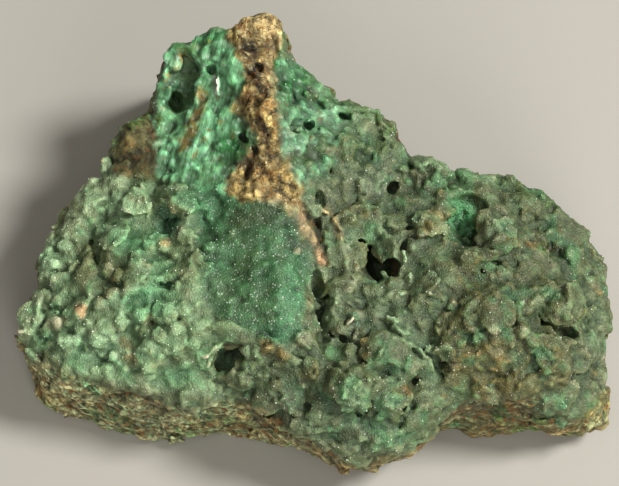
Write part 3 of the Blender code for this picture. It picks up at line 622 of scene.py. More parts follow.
# loose crumbs that touch nothing are dropped
label = np.arange(len(points))
while True:
    least = label[faces].min(1)
    new = label.copy()
    for k in range(3):
        np.minimum.at(new, faces[:, k], least)
    new = new[new]
    if (new == label).all():
        break
    label = new
names, counts = np.unique(label[faces[:, 0]], return_counts=True)
faces = faces[label[faces[:, 0]] == names[counts.argmax()]]
used = np.unique(faces)
remap = np.zeros(len(points), np.int64)
remap[used] = np.arange(len(used))
points, faces = points[used], remap[faces]


def make_mesh(name, points_m, faces):
    mesh = bpy.data.meshes.new(name)
    mesh.vertices.add(len(points_m))
    mesh.vertices.foreach_set("co", points_m.astype(np.float32).ravel())
    mesh.loops.add(faces.size)
    mesh.loops.foreach_set("vertex_index", faces.astype(np.int32).ravel())
    mesh.polygons.add(len(faces))
    mesh.polygons.foreach_set("loop_start", (np.arange(len(faces)) * faces.shape[1]).astype(np.int32))
    mesh.update(calc_edges=True)
    mesh.validate()
    return mesh


raw = bpy.data.objects.new("raw_rock", make_mesh("raw_rock", points / 1000.0, faces))
bpy.context.scene.collection.objects.link(raw)
if len(faces) > FACES:
    thin = raw.modifiers.new("thin", "DECIMATE")
    thin.ratio = FACES / len(faces)
graph = bpy.context.evaluated_depsgraph_get()
graph.update()
rock_mesh = bpy.data.meshes.new_from_object(raw.evaluated_get(graph))
bpy.data.objects.remove(raw, do_unlink=True)
rock_mesh.name = "garnierite_rock"
rock = bpy.data.objects.new("garnierite_rock", rock_mesh)
bpy.context.scene.collection.objects.link(rock)
rock_mesh.shade_smooth()

count = len(rock_mesh.vertices)
P = np.empty(count * 3, np.float32)
rock_mesh.vertices.foreach_get("co", P)
P = P.reshape(-1, 3).astype(np.float64) * 1000.0
N = np.empty(count * 3, np.float32)
rock_mesh.vertex_normals.foreach_get("vector", N)
N = N.reshape(-1, 3).astype(np.float64)
print("rock", count, "vertices", len(rock_mesh.polygons), "faces of", len(faces))

# ---------------------------------------------------------------- hollows and tips, the masks of the painted shade and highlight
full = np.clip(0.5 - field / GRAIN, 0, 1)
tight = sample(box_blur(full, 3), P + N * 0.25)  # about 1 mm across
wide = sample(box_blur(full, 9), P + N * 0.4)  # about 3 mm across
nick = sample(box_blur(full, 1), P + N * 0.10)  # the narrow gap between two grains
nick = soft(nick, np.percentile(nick, 58), np.percentile(nick, 97))
hollow_small = soft(tight, 0.44, 0.66)
tip_small = 1 - soft(tight, 0.20, 0.42)
hollow_wide = soft(wide, 0.48, 0.72)
tip_wide = 1 - soft(wide, 0.26, 0.44)
del full

# ---------------------------------------------------------------- colour by mineral


def linear(name):
    c = np.array(MINERAL[name] if isinstance(name, str) else name, float) / 255.0
    return np.where(c <= 0.04045, c / 12.92, ((c + 0.055) / 1.055) ** 2.4)


# Patches of mineral on the face, laid one over another:
# (mineral, shape, soft edge in drawing units, cover from 0 to 1, how ragged).
PATCHES = [
    # the left field
    ("pale_green", ("poly", LEFT_FIELD), 8, 0.8, 6),
    ("cream_green", ("line", [(112, 178), (78, 205), (60, 235), (46, 265), (36, 300), (22, 335)], 17), 12, 0.55, 6),
    ("mint", ("blob", 60, 258, 26, 22), 10, 0.8, 6),
    ("mint", ("blob", 140, 305, 30, 22), 12, 0.6, 8),
    ("bright_teal", ("blob", 145, 300, 18, 14), 8, 0.5, 8),
    ("sage", ("blob", 100, 270, 34, 22), 12, 0.8, 8),
    ("grey_green", ("blob", 98, 284, 22, 14), 8, 0.7, 8),
    ("mint", ("blob", 100, 348, 46, 14), 10, 0.7, 8),
    ("teal_green", ("blob", 40, 340, 12, 14), 6, 0.5, 6),
    ("cream", ("blob", 55, 322, 8, 7), 4, 0.8, 4),
    ("peach", ("blob", 81, 311, 7, 7), 3, 0.9, 3),
    ("olive", ("blob", 190, 258, 28, 24), 10, 0.35, 8),
    ("olive", ("blob", 96, 268, 30, 26), 10, 0.4, 8),
    ("bright_teal", ("blob", 140, 232, 22, 18), 8, 0.6, 7),
    ("bright_teal", ("blob", 150, 300, 28, 18), 8, 0.5, 7),
    ("pale_green", ("poly", [(131, 186), (155, 186), (157, 222), (146, 232), (132, 212)]), 5, 0.9, 4),
    ("deep_teal", ("blob", 168, 220, 16, 18), 6, 0.75, 6),
    ("olive", ("blob", 184, 200, 20, 16), 8, 0.55, 6),
    ("mint", ("blob", 190, 208, 10, 8), 5, 0.5, 5),
    ("tan", ("blob", 164, 243, 7, 5), 3, 0.8, 3),
    ("tan", ("blob", 209, 245, 6, 6), 3, 0.8, 3),
    ("mint", ("blob", 118, 205, 14, 12), 6, 0.6, 6),
    ("pale_green", ("blob", 170, 340, 30, 18), 10, 0.6, 8),
    ("sage", ("blob", 190, 366, 26, 14), 8, 0.6, 8),
    ("rust", ("blob", 126, 344, 9, 6), 5, 0.65, 7),
    ("rust", ("blob", 130, 361, 8, 6), 5, 0.6, 7),
    ("rust", ("blob", 151, 322, 8, 5), 5, 0.55, 7),
    ("olive", ("blob", 140, 330, 9, 8), 5, 0.5, 7),
    ("umber", ("blob", 45, 366, 14, 18), 8, 0.7, 6),
    # the dome
    ("teal_green", ("poly", DOME), 8, 0.95, 5),
    ("bright_teal", ("blob", 213, 210, 16, 20), 10, 0.85, 5),
    ("sage", ("blob", 242, 252, 30, 22), 14, 0.25, 8),
    ("leaf", ("blob", 255, 285, 34, 34), 16, 0.22, 8),
    ("bright_teal", ("blob", 290, 306, 14, 26), 8, 0.8, 5),
    ("bright_teal", ("blob", 300, 262, 10, 16), 6, 0.5, 5),
    ("umber", ("blob", 258, 217, 24, 13), 9, 0.55, 8),
    ("deep_teal", ("poly", [(280, 222), (300, 226), (306, 248), (296, 254), (282, 246)]), 6, 0.45, 5),
    ("mint", ("blob", 216, 290, 16, 14), 8, 0.4, 8),
    ("cream", ("blob", 298, 250, 5, 4), 2, 0.8, 3),
    ("yellow_green", ("blob", 322, 288, 7, 14), 5, 0.5, 5),
    # the middle
    ("grey_green", ("blob", 370, 175, 26, 26), 12, 0.8, 8),
    ("leaf", ("blob", 360, 140, 36, 26), 16, 0.35, 8),
    ("olive", ("blob", 350, 205, 26, 12), 8, 0.4, 8),
    ("sage", ("blob", 350, 285, 24, 24), 10, 0.5, 8),
    ("sage", ("blob", 400, 285, 26, 30), 12, 0.6, 8),
    ("grey_green", ("blob", 375, 330, 34, 22), 12, 0.5, 8),
    ("bright_teal", ("blob", 376, 232, 12, 10), 5, 0.5, 6),
    ("cream_green", ("line", [(350, 232), (345, 255), (352, 280), (366, 292)], 4), 3, 0.5, 4),
    ("cream_green", ("line", [(398, 256), (404, 276), (398, 296)], 4), 3, 0.5, 4),
    ("olive", ("blob", 360, 212, 14, 8), 6, 0.6, 6),
    # the right-hand mass
    ("grey_green", ("poly", RIGHT_MASS), 10, 0.7, 8),
    ("sage", ("blob", 500, 200, 60, 30), 16, 0.5, 8),
    ("olive", ("blob", 505, 300, 70, 50), 26, 0.40, 12),
    ("olive", ("blob", 515, 370, 60, 34), 16, 0.70, 10),
    ("olive", ("blob", 455, 340, 26, 34), 14, 0.6, 10),
    ((132, 116, 66), ("blob", 482, 374, 38, 28), 12, 0.65, 9),
    ("ochre", ("blob", 500, 366, 16, 10), 8, 0.40, 9),
    ("sage", ("blob", 585, 290, 18, 50), 10, 0.6, 8),
    ("pale_green", ("blob", 545, 300, 14, 14), 8, 0.4, 8),
    ("grey_green", ("blob", 490, 228, 24, 18), 8, 0.7, 6),
    ("mint", ("blob", 496, 224, 8, 6), 4, 0.4, 6),
    ("bright_teal", ("poly", [(446, 196), (470, 200), (474, 226), (462, 240), (449, 222)]), 5, 0.75, 3),
    ("tan", ("blob", 432, 221, 14, 12), 6, 0.55, 7),
    ("rust", ("line", [(513, 240), (530, 244), (552, 248)], 4), 4, 0.6, 6),
    ("emerald", ("blob", 542, 247, 6, 5), 3, 0.7, 5),
    ("cream", ("blob", 548, 232, 5, 3), 2, 0.9, 2),
    ("cream", ("blob", 493, 330, 5, 5), 2, 0.7, 3),
    ("cream", ("blob", 525, 332, 5, 5), 2, 0.7, 3),
    ("mint", ("line", [(420, 165), (440, 160), (470, 176), (500, 182)], 5), 4, 0.5, 6),
    ("leaf", ("line", [(500, 184), (522, 192), (545, 196), (556, 204)], 5), 5, 0.6, 6),
    ("rust", ("blob", 520, 356, 10, 6), 5, 0.45, 8),
    ("rust", ("blob", 560, 384, 10, 5), 5, 0.45, 8),
    ("rust", ("blob", 472, 356, 8, 6), 5, 0.35, 8),
    ("teal_green", ("blob", 462, 392, 14, 8), 5, 0.5, 7),
    ("teal_green", ("blob", 560, 400, 18, 6), 5, 0.5, 7),
    ("emerald", ("blob", 472, 284, 6, 5), 3, 0.4, 6),
    # the lower lobe
    ("sage", ("poly", LOBE), 8, 0.7, 8),
    ("grey_green", ("blob", 300, 395, 44, 34), 14, 0.5, 8),
    ("pale_green", ("blob", 354, 395, 18, 17), 7, 0.6, 6),
    ("bright_teal", ("blob", 350, 388, 10, 8), 5, 0.5, 6),
    ("mint", ("blob", 386, 402, 12, 11), 5, 0.35, 6),
    ("teal_green", ("blob", 332, 352, 9, 10), 5, 0.7, 5),
    ("ochre", ("blob", 267, 348, 8, 8), 4, 0.6, 6),
    ("ochre", ("blob", 281, 356, 7, 8), 4, 0.6, 6),
    ("olive", ("blob", 310, 368, 10, 14), 6, 0.6, 6),
    ("dark_olive", ("blob", 325, 402, 10, 12), 6, 0.5, 8),
    ("grey_green", ("blob", 345, 440, 40, 20), 10, 0.6, 8),
    ("pale_green", ("blob", 395, 445, 26, 16), 10, 0.6, 8),
    ("rust", ("line", [(244, 402), (262, 414), (276, 424)], 4), 4, 0.6, 6),
    ("rust", ("blob", 405, 390, 11, 7), 5, 0.6, 6),
    ("umber", ("blob", 444, 364, 10, 16), 6, 0.6, 6),
    ("mint", ("line", [(400, 324), (418, 342), (430, 360), (434, 378)], 7), 5, 0.5, 6),
    ("emerald", ("blob", 270, 430, 6, 5), 3, 0.5, 6),
    # right of the ridge
    ("teal_green", ("poly", EMERALDS), 6, 0.85, 6),
    ("emerald", ("blob", 300, 84, 22, 18), 8, 0.85, 8),
    ("emerald", ("blob", 320, 100, 14, 12), 6, 0.6, 8),
    ("turquoise", ("blob", 322, 90, 10, 7), 4, 0.55, 6),
    ("turquoise", ("blob", 300, 118, 10, 7), 4, 0.5, 6),
    ("dark_olive", ("poly", [(286, 150), (328, 132), (333, 150), (319, 161), (304, 178), (287, 166)]), 5, 0.7, 6),
    ("leaf", ("poly", [(288, 152), (326, 136), (330, 150), (317, 160), (304, 174), (290, 164)]), 5, 0.55, 8),
    ("emerald", ("line", [(283, 28), (281, 46), (275, 62), (282, 80)], 4), 3, 0.75, 4),
    ("deep_teal", ("line", [(290, 92), (302, 104), (316, 108)], 3), 3, 0.7, 8),
    ("deep_teal", ("blob", 288, 138, 9, 8), 4, 0.7, 8),
    ("dark_olive", ("blob", 312, 96, 7, 6), 3, 0.6, 7),
    ("mint", ("blob", 292, 129, 7, 6), 3, 0.8, 3),
    ("rust", ("blob", 322, 115, 7, 5), 4, 0.7, 6),
    ("leaf", ("line", [(326, 90), (350, 104), (378, 116), (390, 130)], 7), 5, 0.7, 7),
    ("mint", ("blob", 356, 128, 14, 9), 6, 0.4, 7),
    # left of the ridge
    ("turquoise", ("poly", BLOCK), 6, 0.55, 6),
    ("bright_teal", ("poly", BLOCK), 6, 0.55, 8),
    ("emerald", ("blob", 232, 150, 22, 16), 8, 0.85, 8),
    ("deep_teal", ("blob", 229, 174, 10, 9), 5, 0.7, 6),
    ("emerald", ("line", [(190, 40), (214, 36), (230, 32)], 6), 5, 0.75, 7),
    ("leaf", ("blob", 180, 50, 18, 9), 6, 0.6, 7),
    ("deep_teal", ("poly", [(160, 62), (172, 50), (192, 54), (200, 70), (196, 96), (184, 112), (162, 108)]), 6, 0.85, 5),
    ("mint", ("blob", 177, 65, 7, 6), 3, 0.7, 3),
    ("ochre", ("line", [(201, 92), (198, 112), (190, 130), (182, 150)], 5.5), 4, 0.85, 5),
    ("rust", ("line", [(200, 96), (196, 116), (188, 134)], 2.5), 3, 0.6, 4),
    ("turquoise", ("line", [(220, 62), (221, 84), (218, 104), (207, 132), (198, 158), (192, 172)], 8), 4, 0.95, 5),
    ("white", ("line", [(215, 74), (216, 96)], 1.6), 1.5, 0.8, 2),
    ("emerald", ("line", [(232, 84), (228, 104), (216, 128)], 3), 3, 0.5, 6),
    ("bright_teal", ("blob", 190, 178, 20, 8), 6, 0.6, 6),
    ("emerald", ("blob", 242, 140, 16, 19), 4, 0.6, 9),
    ("deep_teal", ("line", [(228, 122), (238, 138), (250, 156)], 3), 3, 0.7, 8),
    ("emerald", ("line", [(206, 74), (204, 100), (196, 128)], 2), 2, 0.5, 6),
    ("turquoise", ("blob", 168, 166, 8, 12), 5, 0.5, 6),
    ("olive", ("poly", SHOULDER), 6, 0.95, 6),
    ("dark_olive", ("blob", 134, 160, 16, 14), 8, 0.6, 8),
    ("leaf", ("line", [(132, 124), (148, 114), (160, 118)], 5), 4, 0.7, 5),
    ("turquoise", ("line", [(152, 118), (160, 132), (162, 150)], 3), 3, 0.6, 5),
    ("ochre", ("blob", 132, 144, 8, 8), 5, 0.4, 8),
    # the ridge itself
    ("ochre", ("poly", RIDGE), 4, 0.97, 5),
    ((206, 184, 112), ("poly", RIDGE), 4, 0.55, 9),
    ("tan", ("line", [(270, 12), (274, 30), (268, 60), (270, 90)], 6), 5, 0.7, 7),
    ("soot", ("line", [(244, 36), (250, 50), (256, 64), (258, 78), (262, 90)], 5), 3, 0.80, 7),
    ("soot", ("line", [(262, 118), (264, 136), (254, 152)], 4), 3, 0.70, 8),
    ("tan", ("blob", 256, 26, 18, 12), 8, 0.7, 9),
    ("rust", ("blob", 242, 24, 6, 5), 4, 0.7, 6),
    ("rust", ("blob", 251, 101, 7, 9), 5, 0.75, 7),
    ("rust", ("blob", 269, 106, 5, 7), 4, 0.7, 6),
    ("umber", ("blob", 254, 120, 12, 16), 8, 0.55, 9),
    ("soot", ("blob", 249, 48, 9, 7), 4, 0.85, 9),
    ("umber", ("line", [(246, 60), (254, 78), (262, 96)], 6), 5, 0.6, 9),
    ("soot", ("blob", 263, 88, 6, 8), 4, 0.65, 9),
    ("umber", ("blob", 268, 46, 7, 10), 5, 0.45, 9),
    ("soot", ("blob", 243, 140, 7, 9), 4, 0.7, 8),
    ("umber", ("line", [(276, 96), (282, 128), (280, 160)], 5), 5, 0.5, 9),
    ("soot", ("blob", 261, 68, 8, 6), 4, 0.9, 7),
    ("soot", ("blob", 251, 72, 5, 5), 4, 0.8, 6),
    ("soot", ("line", [(266, 126), (270, 140), (268, 152)], 3.5), 4, 0.8, 6),
    ("soot", ("blob", 244, 166, 9, 7), 5, 0.8, 8),
    ("umber", ("blob", 256, 160, 22, 14), 9, 0.6, 10),
    ("rust", ("blob", 268, 176, 18, 9), 7, 0.55, 9),
    ("tan", ("line", [(262, 190), (284, 200), (298, 212)], 7), 6, 0.75, 7),
    ("peach", ("line", [(300, 215), (310, 232), (318, 250), (321, 260)], 4.5), 3, 0.85, 4),
    ("tan", ("line", [(304, 222), (314, 240)], 3), 3, 0.7, 4),
    ("tan", ("line", [(328, 208), (335, 221), (341, 238)], 3), 2, 0.7, 3),
]

u, v = drawn_at(P)
G = regions(P)
noise_a = rough_noise(P, 2.6, 401)
noise_b = rough_noise(P, 1.1, 411)
noise_c = rough_noise(P, 5.5, 421)
noise_d = rough_noise(P, 0.7, 431, 2)
tint = np.tile(linear("sage"), (count, 1))


def lay(mineral, cover):
    tint[:] += (linear(mineral) - tint) * cover[:, None]


lay("grey_green", 0.5 * soft(noise_c, -0.3, 0.4))
ragged_u = 0.6 * lattice_noise(P, 2.2, 501) + 0.4 * lattice_noise(P, 0.9, 502)
ragged_v = 0.6 * lattice_noise(P, 2.2, 503) + 0.4 * lattice_noise(P, 0.9, 504)
for mineral, spec, edge, cover, ragged in PATCHES:
    depth = shape_depth(u + ragged * ragged_u, v + ragged * ragged_v, spec)
    if (depth > -edge).any():
        lay(mineral, cover * soft(depth, -0.6 * edge, 0.6 * edge))

# each knob has its own shade
tree = kdtree.KDTree(len(lumps))
for i, (centre, r) in enumerate(lumps):
    tree.insert(centre, i)
tree.balance()
shade = np.random.default_rng(77).normal(size=(len(lumps), 3))
owner = np.array([tree.find(p)[1] for p in P])
owned = shade[owner]
druse = np.clip(G["left"] + G["right"] + G["lobe"] + G["middle"] + 0.8 * G["dome"] + 0.4 * G["emeralds"], 0, 1)
on_face = 1 - G["wall"]
shade_gain = 1 + 0.07 * np.clip(owned[:, 0], -2, 2) * (1 - G["dome"] * 0.7) * on_face
tint *= shade_gain[:, None]
lay("cream", 0.22 * soft(owned[:, 1], 0.9, 1.6) * (druse - 0.8 * G["dome"]).clip(0, 1))
lay("olive", 0.30 * soft(owned[:, 2], 0.7, 1.7) * (druse - 0.8 * G["dome"]).clip(0, 1))
lay("bright_teal", 0.25 * soft(-owned[:, 2], 0.8, 1.7) * (druse - 0.8 * G["dome"]).clip(0, 1))

# crevices of the right and the middle run darker and warmer
warm_side = np.clip(G["right"] + G["lobe"] + 0.7 * G["middle"], 0, 1)
drift = rough_noise(P, 4.2, 441)
drift_b = rough_noise(P, 3.1, 451)
lay("teal_green", 0.62 * warm_side * soft(drift + 0.3 * noise_a, 0.10, 0.42))
lay("pale_green", 0.55 * warm_side * soft(-drift + 0.3 * noise_b, 0.18, 0.50))
lay("olive", 0.45 * warm_side * soft(drift_b, 0.20, 0.50))
lay("ochre", 0.42 * warm_side * soft(drift_b + 0.4 * noise_b, 0.48, 0.70))
lay("cream_green", 0.35 * warm_side * soft(-drift_b + 0.5 * noise_b, 0.40, 0.70))
lay("olive", 0.45 * G["left"] * soft(drift_b + 0.3 * noise_b, 0.22, 0.52))
lay("bright_teal", 0.50 * G["left"] * soft(drift, 0.15, 0.45))
lay("cream_green", 0.40 * G["left"] * soft(-drift + 0.4 * noise_b, 0.30, 0.62))
lay("turquoise", 0.70 * (G["block"] + G["emeralds"]) * soft(drift + 0.5 * noise_b, 0.05, 0.30))
lay("emerald", 0.55 * (0.6 * G["block"] + G["emeralds"]) * soft(-drift + 0.6 * noise_b, 0.25, 0.48))
lay("deep_teal", 0.55 * (0.5 * G["block"] + G["emeralds"]) * soft(noise_b + 0.5 * noise_d, 0.38, 0.60))
lay("ochre", 0.40 * (G["block"] + G["emeralds"]) * soft(drift_b + 0.4 * noise_a, 0.42, 0.62))
lay("turquoise", 0.40 * G["dome"] * soft(drift, 0.10, 0.50))
lay("olive", 0.34 * G["dome"] * soft(-drift_b, 0.15, 0.55))

# rusty specks, and the mottle inside each mineral
lay("rust", 0.5 * soft(noise_b + 0.5 * noise_a, 0.42, 0.62) * (0.35 * druse + 0.5 * G["emeralds"]) * (1 - G["dome"]))
tint *= (1 + 0.10 * noise_a + 0.06 * noise_b + 0.05 * noise_d + 0.08 * noise_c)[:, None]

speck = rough_noise(P, 0.9, 461, 3)
speck_b = rough_noise(P, 0.55, 471, 2)
lay("soot", 0.85 * G["ridge"] * soft(speck + 0.4 * noise_a, 0.34, 0.50))
lay((222, 206, 142), 0.75 * G["ridge"] * soft(-speck + 0.3 * speck_b, 0.24, 0.42))
lay("rust", 0.45 * G["ridge"] * soft(speck_b, 0.34, 0.52))
lay("cream", 0.50 * G["ridge"] * soft(-speck_b, 0.40, 0.56))
# block: white and dark streaks, crumbs of emerald
lay((196, 228, 204), 0.55 * G["block"] * soft(speck_b + 0.4 * speck, 0.26, 0.48))
lay("emerald", 0.60 * G["block"] * soft(-speck, 0.28, 0.46))
lay("deep_teal", 0.60 * G["block"] * soft(-speck_b + 0.4 * noise_b, 0.36, 0.54))
lay("olive", 0.50 * G["block"] * soft(noise_b - 0.5 * speck, 0.28, 0.50))
lay("ochre", 0.60 * G["block"] * soft(noise_a - 0.5 * speck, 0.40, 0.60))
lay("ochre", 0.45 * G["emeralds"] * soft(noise_b + 0.4 * speck, 0.40, 0.58))
lay((206, 232, 206), 0.50 * G["emeralds"] * soft(speck_b + 0.4 * speck, 0.30, 0.50))
lay("deep_teal", 0.55 * G["emeralds"] * soft(-speck_b + 0.3 * speck, 0.34, 0.52))

# the matrix round the sides and below
matrix = np.tile(linear("umber"), (count, 1))


def lay_matrix(mineral, cover):
    matrix[:] += (linear(mineral) - matrix) * cover[:, None]


blocks = broken_blocks(P, 2.6, 601)
grains = broken_blocks(P, 1.1, 602)
layers = layered(P, 1.3, 6.0, 620)
fine_layers = layered(P, 0.55, 2.6, 621)
matrix[:] = linear("stone")
lay_matrix("umber", soft(layers, 0.15, 0.7) * 0.6)
lay_matrix("tan", soft(-layers + 0.3 * fine_layers, 0.25, 0.75) * 0.5)
lay_matrix("ochre", soft(lattice_noise(P, 4.5, 603) + 0.3 * blocks, 0.15, 0.7) * 0.55)
lay_matrix("olive", soft(lattice_noise(P, 7.0, 605), 0.0, 0.5) * 0.6)
lay_matrix("rust", soft(lattice_noise(P, 3.4, 604), 0.35, 0.7) * 0.5)
green = soft(lattice_noise(P, 8.0, 606) + 0.4 * noise_a + 0.03 * (P[:, 2] - 18.0), 0.0, 0.45)
lay_matrix("sage", green * 0.55)
lay_matrix("leaf", soft(lattice_noise(P, 4.0, 609) + 0.3 * noise_b, 0.3, 0.6) * 0.55)
lay_matrix("bright_teal", soft(lattice_noise(P, 3.0, 607) + 0.3 * noise_b, 0.30, 0.6) * 0.7 * (0.25 + 0.75 * green))
lay_matrix("emerald", soft(lattice_noise(P, 2.4, 608), 0.5, 0.7) * 0.5)
band = soft(polygon_depth(u, v, FRONT_BAND), -4, 6)
band_right = soft(polygon_depth(u, v, FRONT_BAND_RIGHT), -4, 6)
facing = soft(-N[:, 1] * 0.6 + 0.4 * N[:, 2], 0.0, 0.3)
lay_matrix((112, 146, 114), 0.92 * band * facing * soft(275 - u, 0, 60))
lay_matrix((122, 126, 88), 0.6 * band_right * facing)
lay_matrix("sage", 0.55 * band * facing * soft(noise_b, -0.5, 0.3))
lay_matrix("mint", 0.55 * band * facing * soft(noise_a + 0.4 * fine_layers, 0.0, 0.45) * soft(260 - u, 0, 120))
lay_matrix("stone", 0.5 * band * facing * soft(-layers, 0.0, 0.4))
for cu, cv, ru, rv, mineral, cover in (
    (62, 398, 22, 10, "bright_teal", 0.75), (60, 394, 16, 8, "mint", 0.5), (98, 415, 18, 9, "bright_teal", 0.7), (100, 412, 14, 6, "mint", 0.5),
    (122, 412, 12, 6, "rust", 0.55), (80, 385, 20, 5, "umber", 0.35), (110, 396, 24, 5, "umber", 0.35), (187, 431, 18, 4, "rust", 0.6),
    (177, 438, 22, 4, "emerald", 0.75), (230, 426, 16, 10, "dark_olive", 0.6), (205, 418, 16, 8, "tan", 0.5), (150, 416, 22, 8, "tan", 0.4),
    (165, 424, 18, 6, "olive", 0.5), (45, 380, 8, 14, "dark_olive", 0.7), (36, 366, 8, 10, "umber", 0.7), (484, 426, 16, 6, "rust", 0.45),
    (552, 428, 20, 5, "leaf", 0.5), (597, 412, 14, 16, "olive", 0.75), (570, 430, 12, 5, "ochre", 0.6), (520, 426, 24, 7, "dark_olive", 0.7),
    (462, 424, 8, 8, "leaf", 0.5), (300, 448, 18, 6, "olive", 0.5), (140, 430, 16, 5, "leaf", 0.5), (250, 428, 10, 8, "umber", 0.6)):
    lay_matrix(mineral, cover * facing * soft(blob_depth(u + 8 * ragged_u, v + 6 * ragged_v, cu, cv, ru, rv), -4, 4))
# the matrix of the front bands is lightened, up to 2.7 times on the left part of the band: partly painted light for
# the front side, which lies in shade, partly making up for the soot specks laid after
matrix *= (1 + 1.35 * band * soft(300 - u, 0, 60) + 0.35 * np.maximum(band, band_right))[:, None]
lay_matrix((112, 140, 106), 0.45 * band * soft(300 - u, 0, 60))
lay_matrix("soot", 0.80 * band * soft(speck_b + 0.4 * speck, 0.20, 0.38))
lay_matrix("mint", 0.60 * band * soft(-speck, 0.22, 0.44))
lay_matrix("rust", 0.40 * band * soft(speck + 0.3 * noise_b, 0.40, 0.60))
matrix *= (1 + 0.14 * noise_b + 0.20 * fine_layers + 0.10 * grains)[:, None]
edge_line = np.clip(np.maximum(G["wall"], np.maximum(band, band_right) * soft(0.75 - broad_slope(P)[:, 2], 0.0, 0.3)), 0, 1)
tint += (matrix - tint) * edge_line[:, None]

# flakes keep their own mineral
for centre, half, mineral in flakes:
    away = np.linalg.norm(P - centre, axis=1)
    near = away < half * 1.6 + 1.0
    cover = np.zeros(count)
    cover[near] = (1 - soft(away[near], half * 0.8, half * 1.3)) * soft(tip_small[near], 0.2, 0.7) * 0.9
    lay(mineral, cover)

# painted highlight on the tips of knobs, and painted shade in hollows
# painted highlight: convex tips are lightened, less on the left field and on the matrix edges, more on the block and
# ridge
pale = tip_small * (0.34 + 0.34 * tip_wide) * np.clip(druse - 0.45 * G["left"] + 0.5 * G["block"] + 0.4 * G["ridge"], 0, 1) * (1 - 0.6 * edge_line)
tint += (np.minimum(tint * 1.55 + 0.05, 0.8) - tint) * pale[:, None]
# painted shade in hollows: the deeper a vertex lies in a small or a wide hollow, the more its colour is darkened,
# towards deep teal on the druse and towards soot on the matrix
dark = np.clip(0.50 * hollow_small + 0.42 * hollow_wide, 0, 0.85)
# in the listed vugs the wall's own mineral is laid, and stay is the share of the painted hollow shade kept there
for cu, cv, ru, rv, mineral, cover, stay in (
    (459, 218, 21, 26, "bright_teal", 0.85, 0.05), (229, 359, 22, 14, (76, 112, 78), 0.6, 0.35), (168, 220, 16, 20, (62, 112, 80), 0.8, 0.25),
    (177, 85, 23, 34, (86, 112, 74), 0.8, 0.12), (298, 125, 14, 10, "deep_teal", 0.5, 0.6), (556, 322, 20, 20, "sage", 0.4, 0.6)):
    inner = soft(blob_depth(u, v, cu, cv, ru, rv), -1.0, 4.0) * hollow_wide
    lay(mineral, cover * inner)
    dark *= 1 - (1 - stay) * inner
shade_colour = linear("deep_teal") * 0.55 * druse[:, None] + linear("soot") * (1 - druse[:, None]) * 0.9
tint += (np.minimum(tint * 0.5, shade_colour + tint * 0.22) - tint) * dark[:, None]
# painted shade in the narrow gaps between grains: the colour there is darkened, less on the left field and more on the
# right, the lobe and the middle; the whole face is also scaled by 0.76
nick = nick * (1 - 0.45 * G["left"] + 0.35 * warm_side)
tint *= 0.76 * (1 - 0.60 * np.clip(nick, 0, 1.2) * (1 - 0.4 * dark))[:, None]
# brightness by region: the left field is lightened and the right-hand mass and the lobe are darkened as painted light,
# as if the light fell more on the left; the block and ridge are also made lighter and the dome darker
tint *= (1 + 0.22 * G["block"] + 0.14 * G["left"] + 0.26 * G["ridge"] - 0.33 * G["dome"] - 0.16 * G["right"] - 0.14 * G["lobe"])[:, None]
# richer colour in the block, the left field and the dome
grey = tint.mean(1, keepdims=True)
rich = (0.10 * G["block"] + 0.06 * G["left"] + 0.12 * G["dome"] + 0.08 * G["lobe"] + 0.14 * G["right"])[:, None]
tint = grey + (tint - grey) * (1 + rich)
tint = np.clip(tint, 0.004, 0.85)

# ---------------------------------------------------------------- to the mesh
gritty = np.clip(edge_line + G["ridge"] + G["ledge"] + 0.5 * G["shoulder"], 0, 1)
fibrous = np.clip(G["block"] + 0.4 * G["shoulder"], 0, 1) * (1 - gritty)
drusy_mask = np.clip(druse, 0, 1) * (1 - gritty)
sparkle = np.clip(G["dome"] + 0.35 * druse, 0, 1) * (1 - gritty)


def give(name, values, kind="FLOAT"):
    attribute = rock_mesh.attributes.new(name, kind, "POINT")
    if kind == "FLOAT_COLOR":
        rgba = np.ones((len(values), 4), np.float32)
        rgba[:, :3] = values
        attribute.data.foreach_set("color", rgba.ravel())
    else:
        attribute.data.foreach_set("value", np.asarray(values, np.float32))


give("tint", tint, "FLOAT_COLOR")
give("grit", gritty)
give("fibre", fibrous)
give("druse", drusy_mask)
give("sparkle", sparkle)
give("hollow", dark)

# ---------------------------------------------------------------- a baking map
corner_vertex = np.empty(len(rock_mesh.loops), np.int32)
rock_mesh.loops.foreach_get("vertex_index", corner_vertex)
starts = np.empty(len(rock_mesh.polygons), np.int32)
rock_mesh.polygons.foreach_get("loop_start", starts)
sizes = np.empty(len(rock_mesh.polygons), np.int32)
rock_mesh.polygons.foreach_get("loop_total", sizes)
face_normal = np.empty(len(rock_mesh.polygons) * 3, np.float32)
rock_mesh.polygon_normals.foreach_get("vector", face_normal)
face_normal = face_normal.reshape(-1, 3)
face_of = np.repeat(np.arange(len(sizes)), sizes)
face_mid = np.zeros((len(sizes), 3))
np.add.at(face_mid, face_of, P[corner_vertex])
face_mid /= sizes[:, None]
face_out = broad_slope(face_mid)
kind = np.full(len(sizes), 0)  # 0 face, 1 side, 2 overhang on the face, 3 underside
is_side = face_out[:, 2] < 0.45
kind[~is_side & (face_normal[:, 2] < 0.02)] = 2
kind[is_side] = 1
kind[face_normal[:, 2] < -0.8] = np.where(face_mid[face_normal[:, 2] < -0.8][:, 2] < 1.0, 3, kind[face_normal[:, 2] < -0.8])
lo, hi = P.min(0), P.max(0)
span = hi - lo
corner_kind = kind[face_of]
C = P[corner_vertex]
uv = np.zeros((len(corner_vertex), 2))
unit = 0.99 / span[0]
plan = (C[:, :2] - lo[:2]) * unit
uv[:] = plan + (0.005, 0.235)
m = corner_kind == 2
uv[m] = plan[m] * 0.27 + (0.69, 0.01)
m = corner_kind == 3
uv[m] = plan[m] * 0.27 + (0.35, 0.01)
